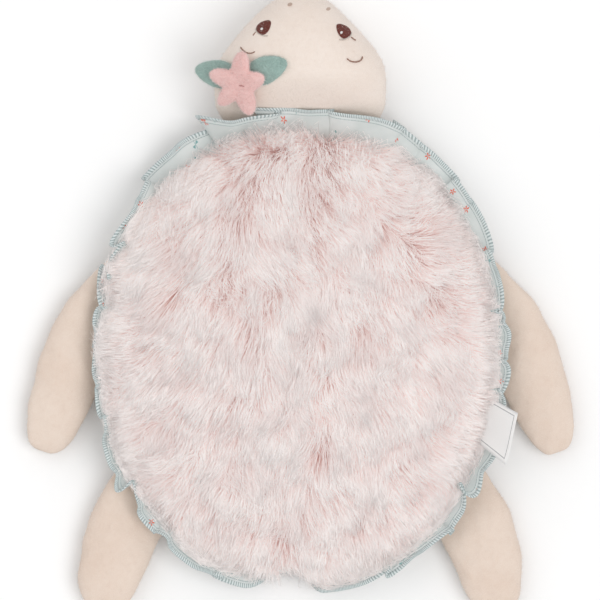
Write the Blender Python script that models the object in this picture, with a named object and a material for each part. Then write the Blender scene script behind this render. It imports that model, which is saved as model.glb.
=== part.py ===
"""Plush turtle lying on its belly, built the way the toy is sewn.

The body, the head and each flipper are two cloth panels round a filling. A gathered
ruffle with an overlocked edge is caught in the body seam, a padded flower with two leaves
is tacked to the head, and the face is embroidered.

Metres, +Z up, +Y towards the head, +X to the right of a viewer who looks down at the
shell. The origin is on the floor, under the middle of the belly.
"""

import math
from dataclasses import dataclass
from typing import Callable

import bmesh
import bpy
import numpy as np

MM = 0.001

# Clearances and cloths
GAP = 0.3 * MM  # between two pieces that touch
ROOT_GAP = 0.7 * MM  # from the body seam to a limb's sewn end, so that the limb can swing
FLOOR_CUT = 0.5 * MM  # how deep the floor flattens what lies on it
LIP = 0.5 * MM  # cloth thickness where two panels meet
VELOUR = 1.0 * MM  # cloth of the belly, the head and the flippers
PILE = 6.0 * MM  # dense part of the long pile and its backing, on the crown of the shell
PILE_EDGE = 2.2 * MM  # the same beside the seam
COTTON = 0.8 * MM  # cloth of the ruffle

# Body
BODY_HALF_WIDTH = 97.0 * MM
BODY_HALF_LENGTH = 113.0 * MM
BODY_OUTLINE_POWER = 2.3  # 2 is an ellipse, more is squarer
SEAM_HEIGHT = 14.0 * MM  # top of the belly panel
SHELL_RISE = 38.0 * MM  # crown of the shell above its own edge
SHELL_POWER = 2.3
BELLY_POWER = 4.0  # a flat underside with round sides

# Ruffle
RUFFLE_WIDTH = 17.0 * MM  # cloth that shows outside the seam
EDGE_WIDTH = 2.8 * MM  # overlocked thread round the cloth's rim
EDGE_THICKNESS = 1.3 * MM
RUFFLE_FOLD_HEIGHT = 3.2 * MM  # half of a fold, crest to hollow, at the rim
FOLDS = 24
STATIONS_PER_FOLD = 6
RUFFLE_TILT = math.radians(29)
COLLAR_TILT = math.radians(45)  # where the ruffle stands up behind the head
COLLAR_SPREAD = math.radians(30)  # turn, each side of the middle, in which it settles again
COLLAR_WIDTH_SHARE = 1.5  # how much wider it shows there
SHOULDER_TURN = math.radians(139)  # where it stands steeply over the left shoulder
SHOULDER_TILT = math.radians(48)
SHOULDER_SPREAD = math.radians(14)
TUCK_TURN = math.radians(-94)  # where the ruffle droops under the fur at the tail
TUCK_TILT = math.radians(-25)
TUCK_SPREAD = math.radians(17)
TUCK_WIDTH_SHARE = 0.62
HELD_SHARE = 0.4  # part of a spread that keeps its full shape
CALM_SHARE = 0.35  # height of the folds in the collar and the tuck
FOLD_DRIFT_TURNS_SHARE = 0.09  # how unevenly the gathers are spread

# Label
LABEL_WIDTH = 25.0 * MM
LABEL_LENGTH = 34.0 * MM
LABEL_THICKNESS = 0.6 * MM
LABEL_TURN = math.radians(-16.5)  # where it is sewn in, from +X round the seam
LABEL_SLANT = math.radians(24)  # from square to the seam, towards the tail
SEAM_STEP = math.radians(0.6)  # turn over which the seam's length is measured

ROOT_POWER = 5.0  # squareness of a limb's outline at its sewn end

# Head
HEAD_HALF_WIDTH = 46.8 * MM
HEAD_LENGTH = 84.0 * MM
NECK_HALF_WIDTH = 35.0 * MM
HEAD_SEAM_HEIGHT = 26.0 * MM
HEAD_RISE = 31.0 * MM
HEAD_POWER = 2.0
HEAD_SWELL_SHARE = 0.5  # part of its length in which it swells out of the neck
NECK_SPREAD_SHARE = 0.3  # part of its length in which it widens to its full breadth
SNOUT_START_SHARE = 0.42  # where it begins to narrow again
SNOUT_TAPER_SHARE = 0.34
PAD_REACH_SHARES = (0.25, 0.85, 0.72)  # to the neck, the snout and the sides: a pad bends no further
SLOPE_STEP_SHARE = 0.01

# Flippers: the sewn end lies along the seam, and the middle line is a quadratic curve from
# there, through a bend, to the tip. Bend and tip are measured from the middle of that end.
FLIPPER_RISE = 8.4 * MM
FLIPPER_SEAM_HEIGHT = 9.0 * MM
FLIPPER_TIP_POWER = 3.2  # squareness of the outline towards the tip
FLIPPER_POWER = 2.1  # fullness of the crown
FLIPPER_SWELL = 34.0 * MM  # from the body, where the flipper has reached its full thickness
FLIPPER_TAPER_SHARE = 0.1
FRONT_TURN = math.radians(22)  # middle of the front flipper's sewn end, from +X
FRONT_SPAN = math.radians(15)  # half of that end, as a turn round the seam
FRONT_HALF_WIDTH = 19.4 * MM
FRONT_BEND = (24.5 * MM, -18.5 * MM)
FRONT_TIP = (48.5 * MM, -98.5 * MM)
REAR_TURN = math.radians(-38)
REAR_SPAN = math.radians(12)
REAR_HALF_WIDTH = 19.8 * MM
REAR_BEND = (20.5 * MM, -16.5 * MM)
REAR_TIP = (28.0 * MM, -69.5 * MM)

# Flower on the left of the head. Places on the head are shares of its half width, from the
# middle, and of its length, from the neck.
FLOWER_PLACE_SHARES = (-0.72, 0.409)
FLOWER_RADIUS = 18.5 * MM
FLOWER_THICKNESS = 6.4 * MM
FLOWER_CLOTH = 0.9 * MM
FLOWER_ARM_TURNS = tuple(math.radians(turn) for turn in (15, 84, 159, 225, 291))
FLOWER_ARM_SHARES = (0.8, 1.0, 0.96, 0.88, 1.0)  # lengths, of the radius
FLOWER_VALLEY_SHARE = 0.52  # radius between two arms
PAD_POWER = 2.4  # fullness of the flower and the leaves
LEAF_POINT_SHARE = 0.22  # how much a leaf narrows at its tip
LEAF_LENGTH = 25.0 * MM
LEAF_WIDTH = 15.0 * MM
LEAF_THICKNESS = 2.6 * MM
LEAF_START = 1.2 * MM  # from the flower's middle to where a leaf begins
LEAF_TURNS = {"leaf_left": math.radians(167), "leaf_right": math.radians(21)}
STITCH_LENGTH = 3.6 * MM
STITCH_WIDTH = 1.0 * MM
STITCH_TURN = math.radians(15)
STITCH_PLACES_SHARES = {"flower_stitch_upper": (-0.14, 0.16), "flower_stitch_lower": (0.1, -0.06)}

# Embroidery, as seen from above
SATIN = 0.7 * MM  # how thick the stitches lie
SATIN_RING_SHARES = ((0, 1), (0.6, 0.9), (1, 0.4), (1, 0), (0.6, 0), (0, 0))  # reach, thickness
EYE_LENGTH = 9.4 * MM
EYE_WIDTH = 6.6 * MM
GLINT_SIZE = 1.3 * MM
BROW_LENGTH = 9.6 * MM
BROW_WIDTH = 1.2 * MM
BROW_SAG = 2.4 * MM
LASH_LENGTH = 3.4 * MM
LASH_WIDTH = 0.9 * MM
NOSTRIL_SIZE = 2.5 * MM
EYE_PLACES_SHARES = {"left": (-0.431, 0.768), "right": (0.503, 0.744)}
EYE_TURNS = {"left": math.radians(45), "right": math.radians(-46)}
GLINT_SHARES = (-0.12, -0.09)
BROW_PLACES_SHARES = {"left": (-0.609, 0.621), "right": (0.648, 0.575)}
BROW_TURNS = {"left": math.radians(-16), "right": math.radians(9)}
LASH_SHARES = {"left": (-0.58, -0.36), "right": (0.62, -0.46)}
LASH_TURNS = {"left": math.radians(42), "right": math.radians(-38)}
NOSTRIL_PLACES_SHARES = {"left": (-0.125, 0.918), "right": (0.326, 0.889)}

# Fineness of the meshes
BODY_SEGMENTS = 36
BODY_RINGS = 6
HEAD_SEGMENTS = 22
HEAD_RINGS = 6
FLIPPER_SEGMENTS = 18
FLIPPER_RINGS = 4
FLOWER_SEGMENTS = 30
LEAF_SEGMENTS = 12
SOFT_RINGS = 3
PATCH_SEGMENTS = 12

COLOURS = {
    "long_pile_pink": (0.90, 0.83, 0.82),
    "velour_peach": (0.90, 0.85, 0.80),
    "cotton_mint": (0.86, 0.88, 0.865),
    "overlock_grey_blue": (0.74, 0.80, 0.81),
    "filling_white": (0.94, 0.94, 0.93),
    "velour_pink": (0.87, 0.70, 0.68),
    "velour_sage": (0.57, 0.65, 0.62),
    "thread_brown": (0.42, 0.23, 0.18),
    "thread_white": (0.95, 0.94, 0.92),
    "thread_beige": (0.74, 0.62, 0.55),
    "thread_rose": (0.74, 0.46, 0.44),
    "ribbon_white": (0.95, 0.95, 0.94),
}
ROUGHNESS = {"thread": 0.55, "ribbon": 0.7, "cotton": 0.85}
SOFT_ROUGHNESS = 0.95

Field = Callable[[np.ndarray, np.ndarray], np.ndarray]
Plan = Callable[[np.ndarray, np.ndarray], tuple[np.ndarray, np.ndarray]]
Outline = Callable[[np.ndarray], tuple[np.ndarray, np.ndarray]]


def power(value: np.ndarray, exponent: float) -> np.ndarray:
    """The exponent of the value's size, with the value's own sign."""
    return np.sign(value) * np.abs(value) ** exponent


def smooth_step(value: np.ndarray) -> np.ndarray:
    """0 below 0, 1 above 1 and an even S between them."""
    held = np.clip(value, 0, 1)
    return held * held * (3 - 2 * held)


def turn_between(turn: np.ndarray, middle: float) -> np.ndarray:
    """The size of the turn from middle, the shorter way round."""
    return np.abs(np.angle(np.exp(1j * (turn - middle))))


def turned(x: np.ndarray, y: np.ndarray, turn: float) -> tuple[np.ndarray, np.ndarray]:
    """A plan point turned round the origin."""
    return x * math.cos(turn) - y * math.sin(turn), x * math.sin(turn) + y * math.cos(turn)


def linear(colour: tuple[float, float, float]) -> tuple[float, float, float, float]:
    """Screen colour to the linear values that a shader takes."""
    return (*(channel**2.2 for channel in colour), 1.0)


def material(name: str) -> bpy.types.Material:
    """The named finish, made once."""
    if name in bpy.data.materials:
        return bpy.data.materials[name]
    made = bpy.data.materials.new(name)
    made.use_nodes = True
    shader = made.node_tree.nodes["Principled BSDF"]
    shader.inputs["Base Color"].default_value = linear(COLOURS[name])
    shader.inputs["Roughness"].default_value = ROUGHNESS.get(name.split("_")[0], SOFT_ROUGHNESS)
    shader.inputs["Metallic"].default_value = 0
    return made


def node(name: str, finish: str, points: np.ndarray, faces: list, origin: np.ndarray) -> None:
    """One named object, with its own origin and its faces turned outward."""
    mesh = bpy.data.meshes.new(name)
    mesh.from_pydata((points - origin).tolist(), [], faces)
    shape = bmesh.new()
    shape.from_mesh(mesh)
    bmesh.ops.recalc_face_normals(shape, faces=shape.faces)
    shape.to_mesh(mesh)
    shape.free()
    mesh.shade_smooth()
    mesh.materials.append(material(finish))
    made = bpy.data.objects.new(name, mesh)
    made.location = origin
    bpy.context.scene.collection.objects.link(made)


def closed_rings(name: str, finish: str, rings: list[np.ndarray], origin: np.ndarray) -> None:
    """A body skinned over rings of equal count. The first and the last ring are shut to a point.

    Each quad is split from its corner on the narrower ring, so that nested skins, whose rings
    run in and out, have their folds in the same places.
    """
    count = len(rings[0])
    points = np.vstack([rings[0].mean(axis=0), *rings[1:-1], rings[-1].mean(axis=0)])
    last = len(points) - 1
    side = np.arange(count)
    after = (side + 1) % count
    spread = [np.ptp(ring[:, 0]) for ring in rings]
    faces = [(0, 1 + i, 1 + j) for i, j in zip(side, after)]
    for ring in range(1, len(rings) - 2):
        here, there = 1 + (ring - 1) * count, 1 + ring * count
        for i, j in zip(side, after):
            if spread[ring] <= spread[ring + 1]:
                faces += [(here + i, there + i, there + j), (here + i, there + j, here + j)]
            else:
                faces += [(here + i, there + i, here + j), (there + i, there + j, here + j)]
    end = 1 + (len(rings) - 3) * count
    faces += [(end + j, end + i, last) for i, j in zip(side, after)]
    node(name, finish, points, faces, origin)


def endless_sweep(name: str, finish: str, sections: np.ndarray, origin: np.ndarray) -> None:
    """A closed loop of closed cross-sections, given as stations by corners by XYZ."""
    stations, corners = sections.shape[:2]
    faces = []
    for here in range(stations):
        there = (here + 1) % stations
        for corner in range(corners):
            beside = (corner + 1) % corners
            faces.append(
                (
                    here * corners + corner,
                    here * corners + beside,
                    there * corners + beside,
                    there * corners + corner,
                )
            )
    node(name, finish, sections.reshape(-1, 3), faces, origin)


def round_outline(near_power: float, far_power: float) -> Outline:
    """The rim of the unit square's disc: one squareness where a is below 0, another above."""

    def rim(turn: np.ndarray) -> tuple[np.ndarray, np.ndarray]:
        shape = np.where(np.cos(turn) < 0, near_power, far_power)
        reach = (np.abs(np.cos(turn)) ** shape + np.abs(np.sin(turn)) ** shape) ** (-1 / shape)
        return reach * np.cos(turn), reach * np.sin(turn)

    return rim


@dataclass(frozen=True)
class Form:
    """A sewn form over a disc of (a, b), where the disc's rim is the seam.

    plan places (a, b) in XY. seam is the height there of the plane between the panels.
    rise and drop are the heights of the crowns above and below it, before they round off
    towards the rim. half_sizes are what one unit of a and of b measures, for insets.
    """

    plan: Plan
    outline: Outline
    seam: Field
    rise: Field
    drop: Field
    half_sizes: tuple[float, float]
    up_power: float
    down_power: float
    segments: int
    rings: int
    origin: np.ndarray
    above_gap: float = GAP / 2
    below_gap: float = GAP / 2

    def ring(self, level: float, inset: float, up: bool, lift: float, swell: float, floor: float):
        """One ring: level 0 is the rim and 1 the crown. swell scales the crown's height."""
        bulge = self.up_power if up else self.down_power
        climb = level * math.pi / 2
        reach, height = math.cos(climb) ** (2 / bulge), math.sin(climb) ** (2 / bulge)
        turn = np.arange(self.segments) * 2 * math.pi / self.segments
        a, b = self.outline(turn)
        a = a * reach * (1 - inset / self.half_sizes[0])
        b = b * reach * (1 - inset / self.half_sizes[1])
        x, y = self.plan(a, b)
        if up:
            z = self.seam(a, b) + lift + self.rise(a, b) * swell * height
        else:
            z = np.maximum(self.seam(a, b) - lift - self.drop(a, b) * swell * height, floor)
        return np.column_stack([x, y, z])

    def levels(self) -> np.ndarray:
        return np.linspace(1, 0, self.rings + 1)

    def panel(self, name: str, finish: str, up: bool, skin: float, side: float) -> None:
        """The upper or the lower cloth, open towards the seam: skin thick on its crown."""
        clear = self.above_gap if up else self.below_gap
        crown = self.tallest(up)
        inner = 1 - (skin - LIP) / crown
        outside = [self.ring(k, 0, up, clear + LIP, 1, 0) for k in self.levels()]
        lip = [self.ring(0, 0, up, clear, 1, 0)]
        inside = [self.ring(k, side, up, clear, inner, skin) for k in self.levels()[::-1]]
        closed_rings(name, finish, outside + lip + inside, self.origin)

    def filling(self, name: str, finish: str, skins: tuple[float, float], side: float) -> None:
        """What both panels hold, clear of them all round."""
        up_skin, down_skin = skins
        up_scale = 1 - (up_skin - LIP + GAP) / self.tallest(True)
        down_scale = 1 - (down_skin - LIP + GAP) / self.tallest(False)
        inset = side + GAP
        top = [self.ring(k, inset, True, 0, up_scale, 0) for k in self.levels()]
        under = [
            self.ring(k, inset, False, 0, down_scale, down_skin + GAP)
            for k in self.levels()[-2::-1]
        ]
        closed_rings(name, finish, top + under, self.origin)

    def tallest(self, up: bool) -> float:
        middle = np.zeros(1)
        return float((self.rise if up else self.drop)(middle, middle)[0])


def seam_point(turn: np.ndarray, outward: float) -> tuple[np.ndarray, np.ndarray]:
    """A point of the body's seam, moved outward in plan."""
    x, y, nx, ny = seam_frame(turn)
    return x + nx * outward, y + ny * outward


def seam_frame(turn: np.ndarray) -> tuple[np.ndarray, ...]:
    """A point of the body's seam, and the outward direction there."""
    a, b = round_outline(BODY_OUTLINE_POWER, BODY_OUTLINE_POWER)(turn)
    nx = power(a, BODY_OUTLINE_POWER - 1) / BODY_HALF_WIDTH
    ny = power(b, BODY_OUTLINE_POWER - 1) / BODY_HALF_LENGTH
    size = np.hypot(nx, ny)
    return a * BODY_HALF_WIDTH, b * BODY_HALF_LENGTH, nx / size, ny / size


def outside_seam(x: np.ndarray, y: np.ndarray) -> np.ndarray:
    """How far a plan point lies outside the body's seam, to first order."""
    width = np.abs(x / BODY_HALF_WIDTH)
    length = np.abs(y / BODY_HALF_LENGTH)
    level = (width**BODY_OUTLINE_POWER + length**BODY_OUTLINE_POWER) ** (1 / BODY_OUTLINE_POWER)
    slope = np.hypot(
        (width / level) ** (BODY_OUTLINE_POWER - 1) / BODY_HALF_WIDTH,
        (length / level) ** (BODY_OUTLINE_POWER - 1) / BODY_HALF_LENGTH,
    )
    return (level - 1) / slope


def limb_seam_height() -> float:
    """Height of a limb's own seam at its sewn end, just under the ruffle."""
    return SEAM_HEIGHT - GAP / 2 - LIP


def shell_edge_height() -> float:
    """Underside of the shell panel's edge: belly, ruffle and shell lie on each other."""
    return SEAM_HEIGHT + COTTON + 2 * GAP


def body_form() -> Form:
    """The body, whose two panels stand apart by the ruffle that they hold."""
    flat = np.zeros(3)
    return Form(
        plan=lambda a, b: (BODY_HALF_WIDTH * a, BODY_HALF_LENGTH * b),
        outline=round_outline(BODY_OUTLINE_POWER, BODY_OUTLINE_POWER),
        seam=lambda a, b: np.full_like(a, SEAM_HEIGHT),
        rise=lambda a, b: np.full_like(a, SHELL_RISE),
        drop=lambda a, b: np.full_like(a, SEAM_HEIGHT + FLOOR_CUT - LIP),
        half_sizes=(BODY_HALF_WIDTH, BODY_HALF_LENGTH),
        up_power=SHELL_POWER,
        down_power=BELLY_POWER,
        segments=BODY_SEGMENTS,
        rings=BODY_RINGS,
        origin=flat,
        above_gap=shell_edge_height() - SEAM_HEIGHT,
        below_gap=0.0,
    )


def head_width(u: np.ndarray) -> np.ndarray:
    """Half the head's breadth, u along it: out of the neck, then in towards the snout."""
    swell = smooth_step(0.5 + u / (2 * NECK_SPREAD_SHARE)) * 2 - 1
    taper = 1 - SNOUT_TAPER_SHARE * smooth_step((u - SNOUT_START_SHARE) / (1 - SNOUT_START_SHARE))
    return (NECK_HALF_WIDTH + (HEAD_HALF_WIDTH - NECK_HALF_WIDTH) * swell) * taper


def head_form() -> Form:
    """The head: a ball with a blunt snout that grows out of a thin neck."""
    neck_y = BODY_HALF_LENGTH + ROOT_GAP
    start = limb_seam_height()

    def along(a: np.ndarray) -> np.ndarray:
        return (a + 1) / 2

    def swelling(a: np.ndarray) -> np.ndarray:
        return smooth_step(along(a) / HEAD_SWELL_SHARE)

    def seam(a: np.ndarray, b: np.ndarray) -> np.ndarray:
        return start + (HEAD_SEAM_HEIGHT - start) * swelling(a)

    return Form(
        plan=lambda a, b: (head_width(along(a)) * b, neck_y + HEAD_LENGTH * along(a)),
        outline=round_outline(ROOT_POWER, HEAD_POWER),
        seam=seam,
        rise=lambda a, b: HEAD_RISE * swelling(a),
        drop=lambda a, b: (HEAD_SEAM_HEIGHT + FLOOR_CUT - LIP - GAP / 2) * swelling(a),
        half_sizes=(HEAD_LENGTH / 2, HEAD_HALF_WIDTH),
        up_power=HEAD_POWER,
        down_power=HEAD_POWER,
        segments=HEAD_SEGMENTS,
        rings=HEAD_RINGS,
        origin=np.array([0, neck_y, start]),
    )


def flipper_form(side: int, turn: float, span: float, width: float, bend: tuple, tip: tuple) -> Form:
    """A flipper on the right (side 1) or on the left (side -1).

    Its sewn end follows the seam, and its middle line is a quadratic curve to the tip.
    """
    root_x, root_y = (float(v) for v in seam_point(np.array(turn), ROOT_GAP))
    start = limb_seam_height()

    def along(a: np.ndarray) -> np.ndarray:
        return (a + 1) / 2

    def plan(a: np.ndarray, b: np.ndarray) -> tuple[np.ndarray, np.ndarray]:
        u = along(a)
        middle_x = root_x + 2 * u * (1 - u) * bend[0] + u * u * tip[0]
        middle_y = root_y + 2 * u * (1 - u) * bend[1] + u * u * tip[1]
        way_x = (1 - 2 * u) * bend[0] + u * tip[0]
        way_y = (1 - 2 * u) * bend[1] + u * tip[1]
        size = np.hypot(way_x, way_y)
        half = width * (1 - FLIPPER_TAPER_SHARE * smooth_step(2 * u - 1))
        free_x = middle_x - way_y / size * half * b
        free_y = middle_y + way_x / size * half * b
        sewn_x, sewn_y = seam_point(turn + span * b, ROOT_GAP)
        sewn_x, sewn_y = sewn_x + (middle_x - root_x), sewn_y + (middle_y - root_y)
        freed = smooth_step(2 * u)
        return (
            side * (sewn_x + (free_x - sewn_x) * freed),
            sewn_y + (free_y - sewn_y) * freed,
        )

    def swelling(a: np.ndarray, b: np.ndarray) -> np.ndarray:
        return smooth_step(outside_seam(*plan(a, b)) / FLIPPER_SWELL)

    def seam(a: np.ndarray, b: np.ndarray) -> np.ndarray:
        return start + (FLIPPER_SEAM_HEIGHT - start) * smooth_step(2 * along(a))

    return Form(
        plan=plan,
        outline=round_outline(ROOT_POWER, FLIPPER_TIP_POWER),
        seam=seam,
        rise=lambda a, b: FLIPPER_RISE * swelling(a, b),
        drop=lambda a, b: (FLIPPER_SEAM_HEIGHT + FLOOR_CUT - LIP - GAP / 2) * swelling(a, b),
        half_sizes=(math.hypot(*tip) / 2, width),
        up_power=FLIPPER_POWER,
        down_power=FLIPPER_POWER,
        segments=FLIPPER_SEGMENTS,
        rings=FLIPPER_RINGS,
        origin=np.array([side * root_x, root_y, start]),
    )


def head_top(x: np.ndarray, y: np.ndarray) -> np.ndarray:
    """Height of the head's cloth over a plan point.

    Past the steep sides and the neck it goes on along its slope there, as a stiff padded
    piece does that is tacked on top.
    """
    form = head_form()
    u = (y - BODY_HALF_LENGTH - ROOT_GAP) / HEAD_LENGTH
    neck, snout, side = PAD_REACH_SHARES
    b = x / head_width(np.clip(u, neck, 1))
    a = 2 * u - 1

    def height(a: np.ndarray, b: np.ndarray) -> np.ndarray:
        shape = np.where(a < 0, ROOT_POWER, HEAD_POWER)
        level = (np.abs(a) ** shape + np.abs(b) ** shape) ** (1 / shape)
        round_off = np.maximum(1 - level**HEAD_POWER, 0) ** (1 / HEAD_POWER)
        return form.seam(a, b) + GAP / 2 + LIP + form.rise(a, b) * round_off

    near_a, near_b = np.clip(a, -neck, snout), np.clip(b, -side, side)
    step = SLOPE_STEP_SHARE
    slope_a = (height(near_a + step, near_b) - height(near_a - step, near_b)) / (2 * step)
    slope_b = (height(near_a, near_b + step) - height(near_a, near_b - step)) / (2 * step)
    return height(near_a, near_b) + slope_a * (a - near_a) + slope_b * (b - near_b)


def place_on_head(shares: tuple[float, float]) -> tuple[float, float]:
    """Plan point of a place given as shares of the head."""
    return (
        shares[0] * HEAD_HALF_WIDTH,
        BODY_HALF_LENGTH + ROOT_GAP + shares[1] * HEAD_LENGTH,
    )


def patch(
    name: str,
    finish: str,
    size: tuple[float, float],
    centre: tuple[float, float],
    turn: float,
    under: Field,
    thickness: float,
    sag: float = 0.0,
) -> None:
    """Embroidery: an oval, or a bowed stroke, that lies on the surface given by under."""
    turns = np.arange(PATCH_SEGMENTS) * 2 * math.pi / PATCH_SEGMENTS
    rings = []
    for reach, lift in SATIN_RING_SHARES:
        along, across = np.cos(turns) * reach, np.sin(turns) * reach
        x, y = turned(along * size[0] / 2, across * size[1] / 2 - sag * (1 - along**2), turn)
        x, y = x + centre[0], y + centre[1]
        rings.append(np.column_stack([x, y, under(x, y) + GAP + lift * thickness]))
    closed_rings(name, finish, rings, head_form().origin)


def build_body() -> None:
    form = body_form()
    form.panel("shell_fur_panel", "long_pile_pink", True, PILE, PILE_EDGE)
    form.panel("belly_panel", "velour_peach", False, VELOUR, VELOUR)
    form.filling("body_filling", "filling_white", (PILE, VELOUR), PILE_EDGE)


def build_limb(name: str, form: Form) -> None:
    form.panel(f"{name}_upper_panel", "velour_peach", True, VELOUR, VELOUR)
    form.panel(f"{name}_lower_panel", "velour_peach", False, VELOUR, VELOUR)
    form.filling(f"{name}_filling", "filling_white", (VELOUR, VELOUR), VELOUR)


def ruffle_section(turn: np.ndarray, reach: float, thickness: float) -> tuple[np.ndarray, np.ndarray]:
    """Upper and lower points of the ruffle, reach from the seam along the cloth.

    Inside the seam the cloth is flat. Outside it tilts up, most behind the head and over the
    left shoulder, and droops at the tail. Its folds grow in height towards the rim.
    """
    x, y, nx, ny = seam_frame(turn)
    middle = SEAM_HEIGHT + GAP + COTTON / 2
    tilt, wave, shown = np.zeros_like(turn), np.zeros_like(turn), np.full_like(turn, reach)
    if reach > 0:
        collar = 1 - smooth_step(turn_between(turn, math.pi / 2) / COLLAR_SPREAD - HELD_SHARE)
        shoulder = 1 - smooth_step(turn_between(turn, SHOULDER_TURN) / SHOULDER_SPREAD - HELD_SHARE)
        tuck = 1 - smooth_step(turn_between(turn, TUCK_TURN) / TUCK_SPREAD - HELD_SHARE)
        tilt = RUFFLE_TILT + (COLLAR_TILT - RUFFLE_TILT) * collar
        tilt = tilt + (SHOULDER_TILT - RUFFLE_TILT) * shoulder + (TUCK_TILT - RUFFLE_TILT) * tuck
        widening = (COLLAR_WIDTH_SHARE - 1) * collar + (TUCK_WIDTH_SHARE - 1) * tuck
        shown = reach + min(reach, RUFFLE_WIDTH) * widening
        drift = FOLD_DRIFT_TURNS_SHARE * 2 * math.pi * (np.sin(2 * turn) + np.sin(3 * turn + 1))
        height = RUFFLE_FOLD_HEIGHT * (1 - (1 - CALM_SHARE) * (collar + tuck))
        wave = height * np.sin(FOLDS * turn + FOLDS / 4 * drift) * reach / RUFFLE_WIDTH
    points = []
    for off in (thickness / 2, -thickness / 2):
        raised = wave + off
        out = shown * np.cos(tilt) - raised * np.sin(tilt)
        up = shown * np.sin(tilt) + raised * np.cos(tilt)
        points.append(np.column_stack([x + nx * out, y + ny * out, middle + up]))
    return points[0], points[1]


def build_ruffle() -> None:
    count = FOLDS * STATIONS_PER_FOLD
    turn = np.arange(count) * 2 * math.pi / count
    inner = -(PILE_EDGE - GAP)
    pieces = {
        "ruffle": ("cotton_mint", COTTON, (inner, 0, RUFFLE_WIDTH / 2, RUFFLE_WIDTH)),
        "ruffle_overlock_edge": (
            "overlock_grey_blue",
            EDGE_THICKNESS,
            (RUFFLE_WIDTH + GAP, RUFFLE_WIDTH + EDGE_WIDTH),
        ),
    }
    for name, (finish, thickness, reaches) in pieces.items():
        sections = [ruffle_section(turn, reach, thickness) for reach in reaches]
        corners = [top for top, under in sections] + [under for top, under in sections[::-1]]
        endless_sweep(name, finish, np.stack(corners, axis=1), np.zeros(3))


def build_label() -> None:
    """A folded ribbon in the seam, lying on the ruffle's crests and curved like the seam."""
    crest_tilt = RUFFLE_TILT + math.atan(RUFFLE_FOLD_HEIGHT / RUFFLE_WIDTH)
    start = shell_edge_height()
    before_x, before_y = seam_point(np.array(LABEL_TURN - SEAM_STEP), GAP)
    after_x, after_y = seam_point(np.array(LABEL_TURN + SEAM_STEP), GAP)
    turn_per_length = 2 * SEAM_STEP / math.hypot(after_x - before_x, after_y - before_y)
    corner = np.array(
        [[-1, -1], [-1, 0], [-1, 1], [0, 1], [1, 1], [1, 0], [1, -1], [0, -1]], dtype=float
    )
    rings = []
    for reach, lift in ((0, 1), (1, 1), (1, 0), (0, 0)):
        out = GAP + LABEL_LENGTH * (corner[:, 0] * reach + 1) / 2
        turn = LABEL_TURN + LABEL_WIDTH / 2 * corner[:, 1] * reach * turn_per_length
        x, y, nx, ny = seam_frame(turn)
        level = out * math.cos(crest_tilt)
        ahead, aside = level * math.cos(LABEL_SLANT), level * math.sin(LABEL_SLANT)
        z = start + out * math.sin(crest_tilt) + lift * LABEL_THICKNESS
        rings.append(
            np.column_stack([x + nx * ahead + ny * aside, y + ny * ahead - nx * aside, z])
        )
    root_x, root_y = (float(v) for v in seam_point(np.array(LABEL_TURN), GAP))
    closed_rings("label", "ribbon_white", rings, np.array([root_x, root_y, start]))


def flower_outline(turn: np.ndarray) -> tuple[np.ndarray, np.ndarray]:
    """A star with rounded arms, each with its own turn and length.

    The turns are stretched so that the arms come at even steps, and a cosine of the evened
    turn runs from the valleys out to the arms.
    """
    arms = np.array(FLOWER_ARM_TURNS)
    count = len(arms)
    marks = np.concatenate([arms[-1:] - 2 * math.pi, arms, arms[:1] + 2 * math.pi])
    spot = arms[0] + (turn - arms[0]) % (2 * math.pi)
    even = np.interp(spot, marks, np.arange(-1, count + 1))
    longest = np.array(FLOWER_ARM_SHARES)[np.rint(even).astype(int) % count]
    wave = (1 + np.cos(2 * math.pi * even)) / 2
    reach = FLOWER_VALLEY_SHARE + (longest - FLOWER_VALLEY_SHARE) * wave
    return reach * np.cos(turn), reach * np.sin(turn)


def leaf_outline(turn: np.ndarray) -> tuple[np.ndarray, np.ndarray]:
    """An oval drawn in to a point at its far end."""
    return np.cos(turn), np.sin(turn) * (1 - LEAF_POINT_SHARE * np.maximum(np.cos(turn), 0))


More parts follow.
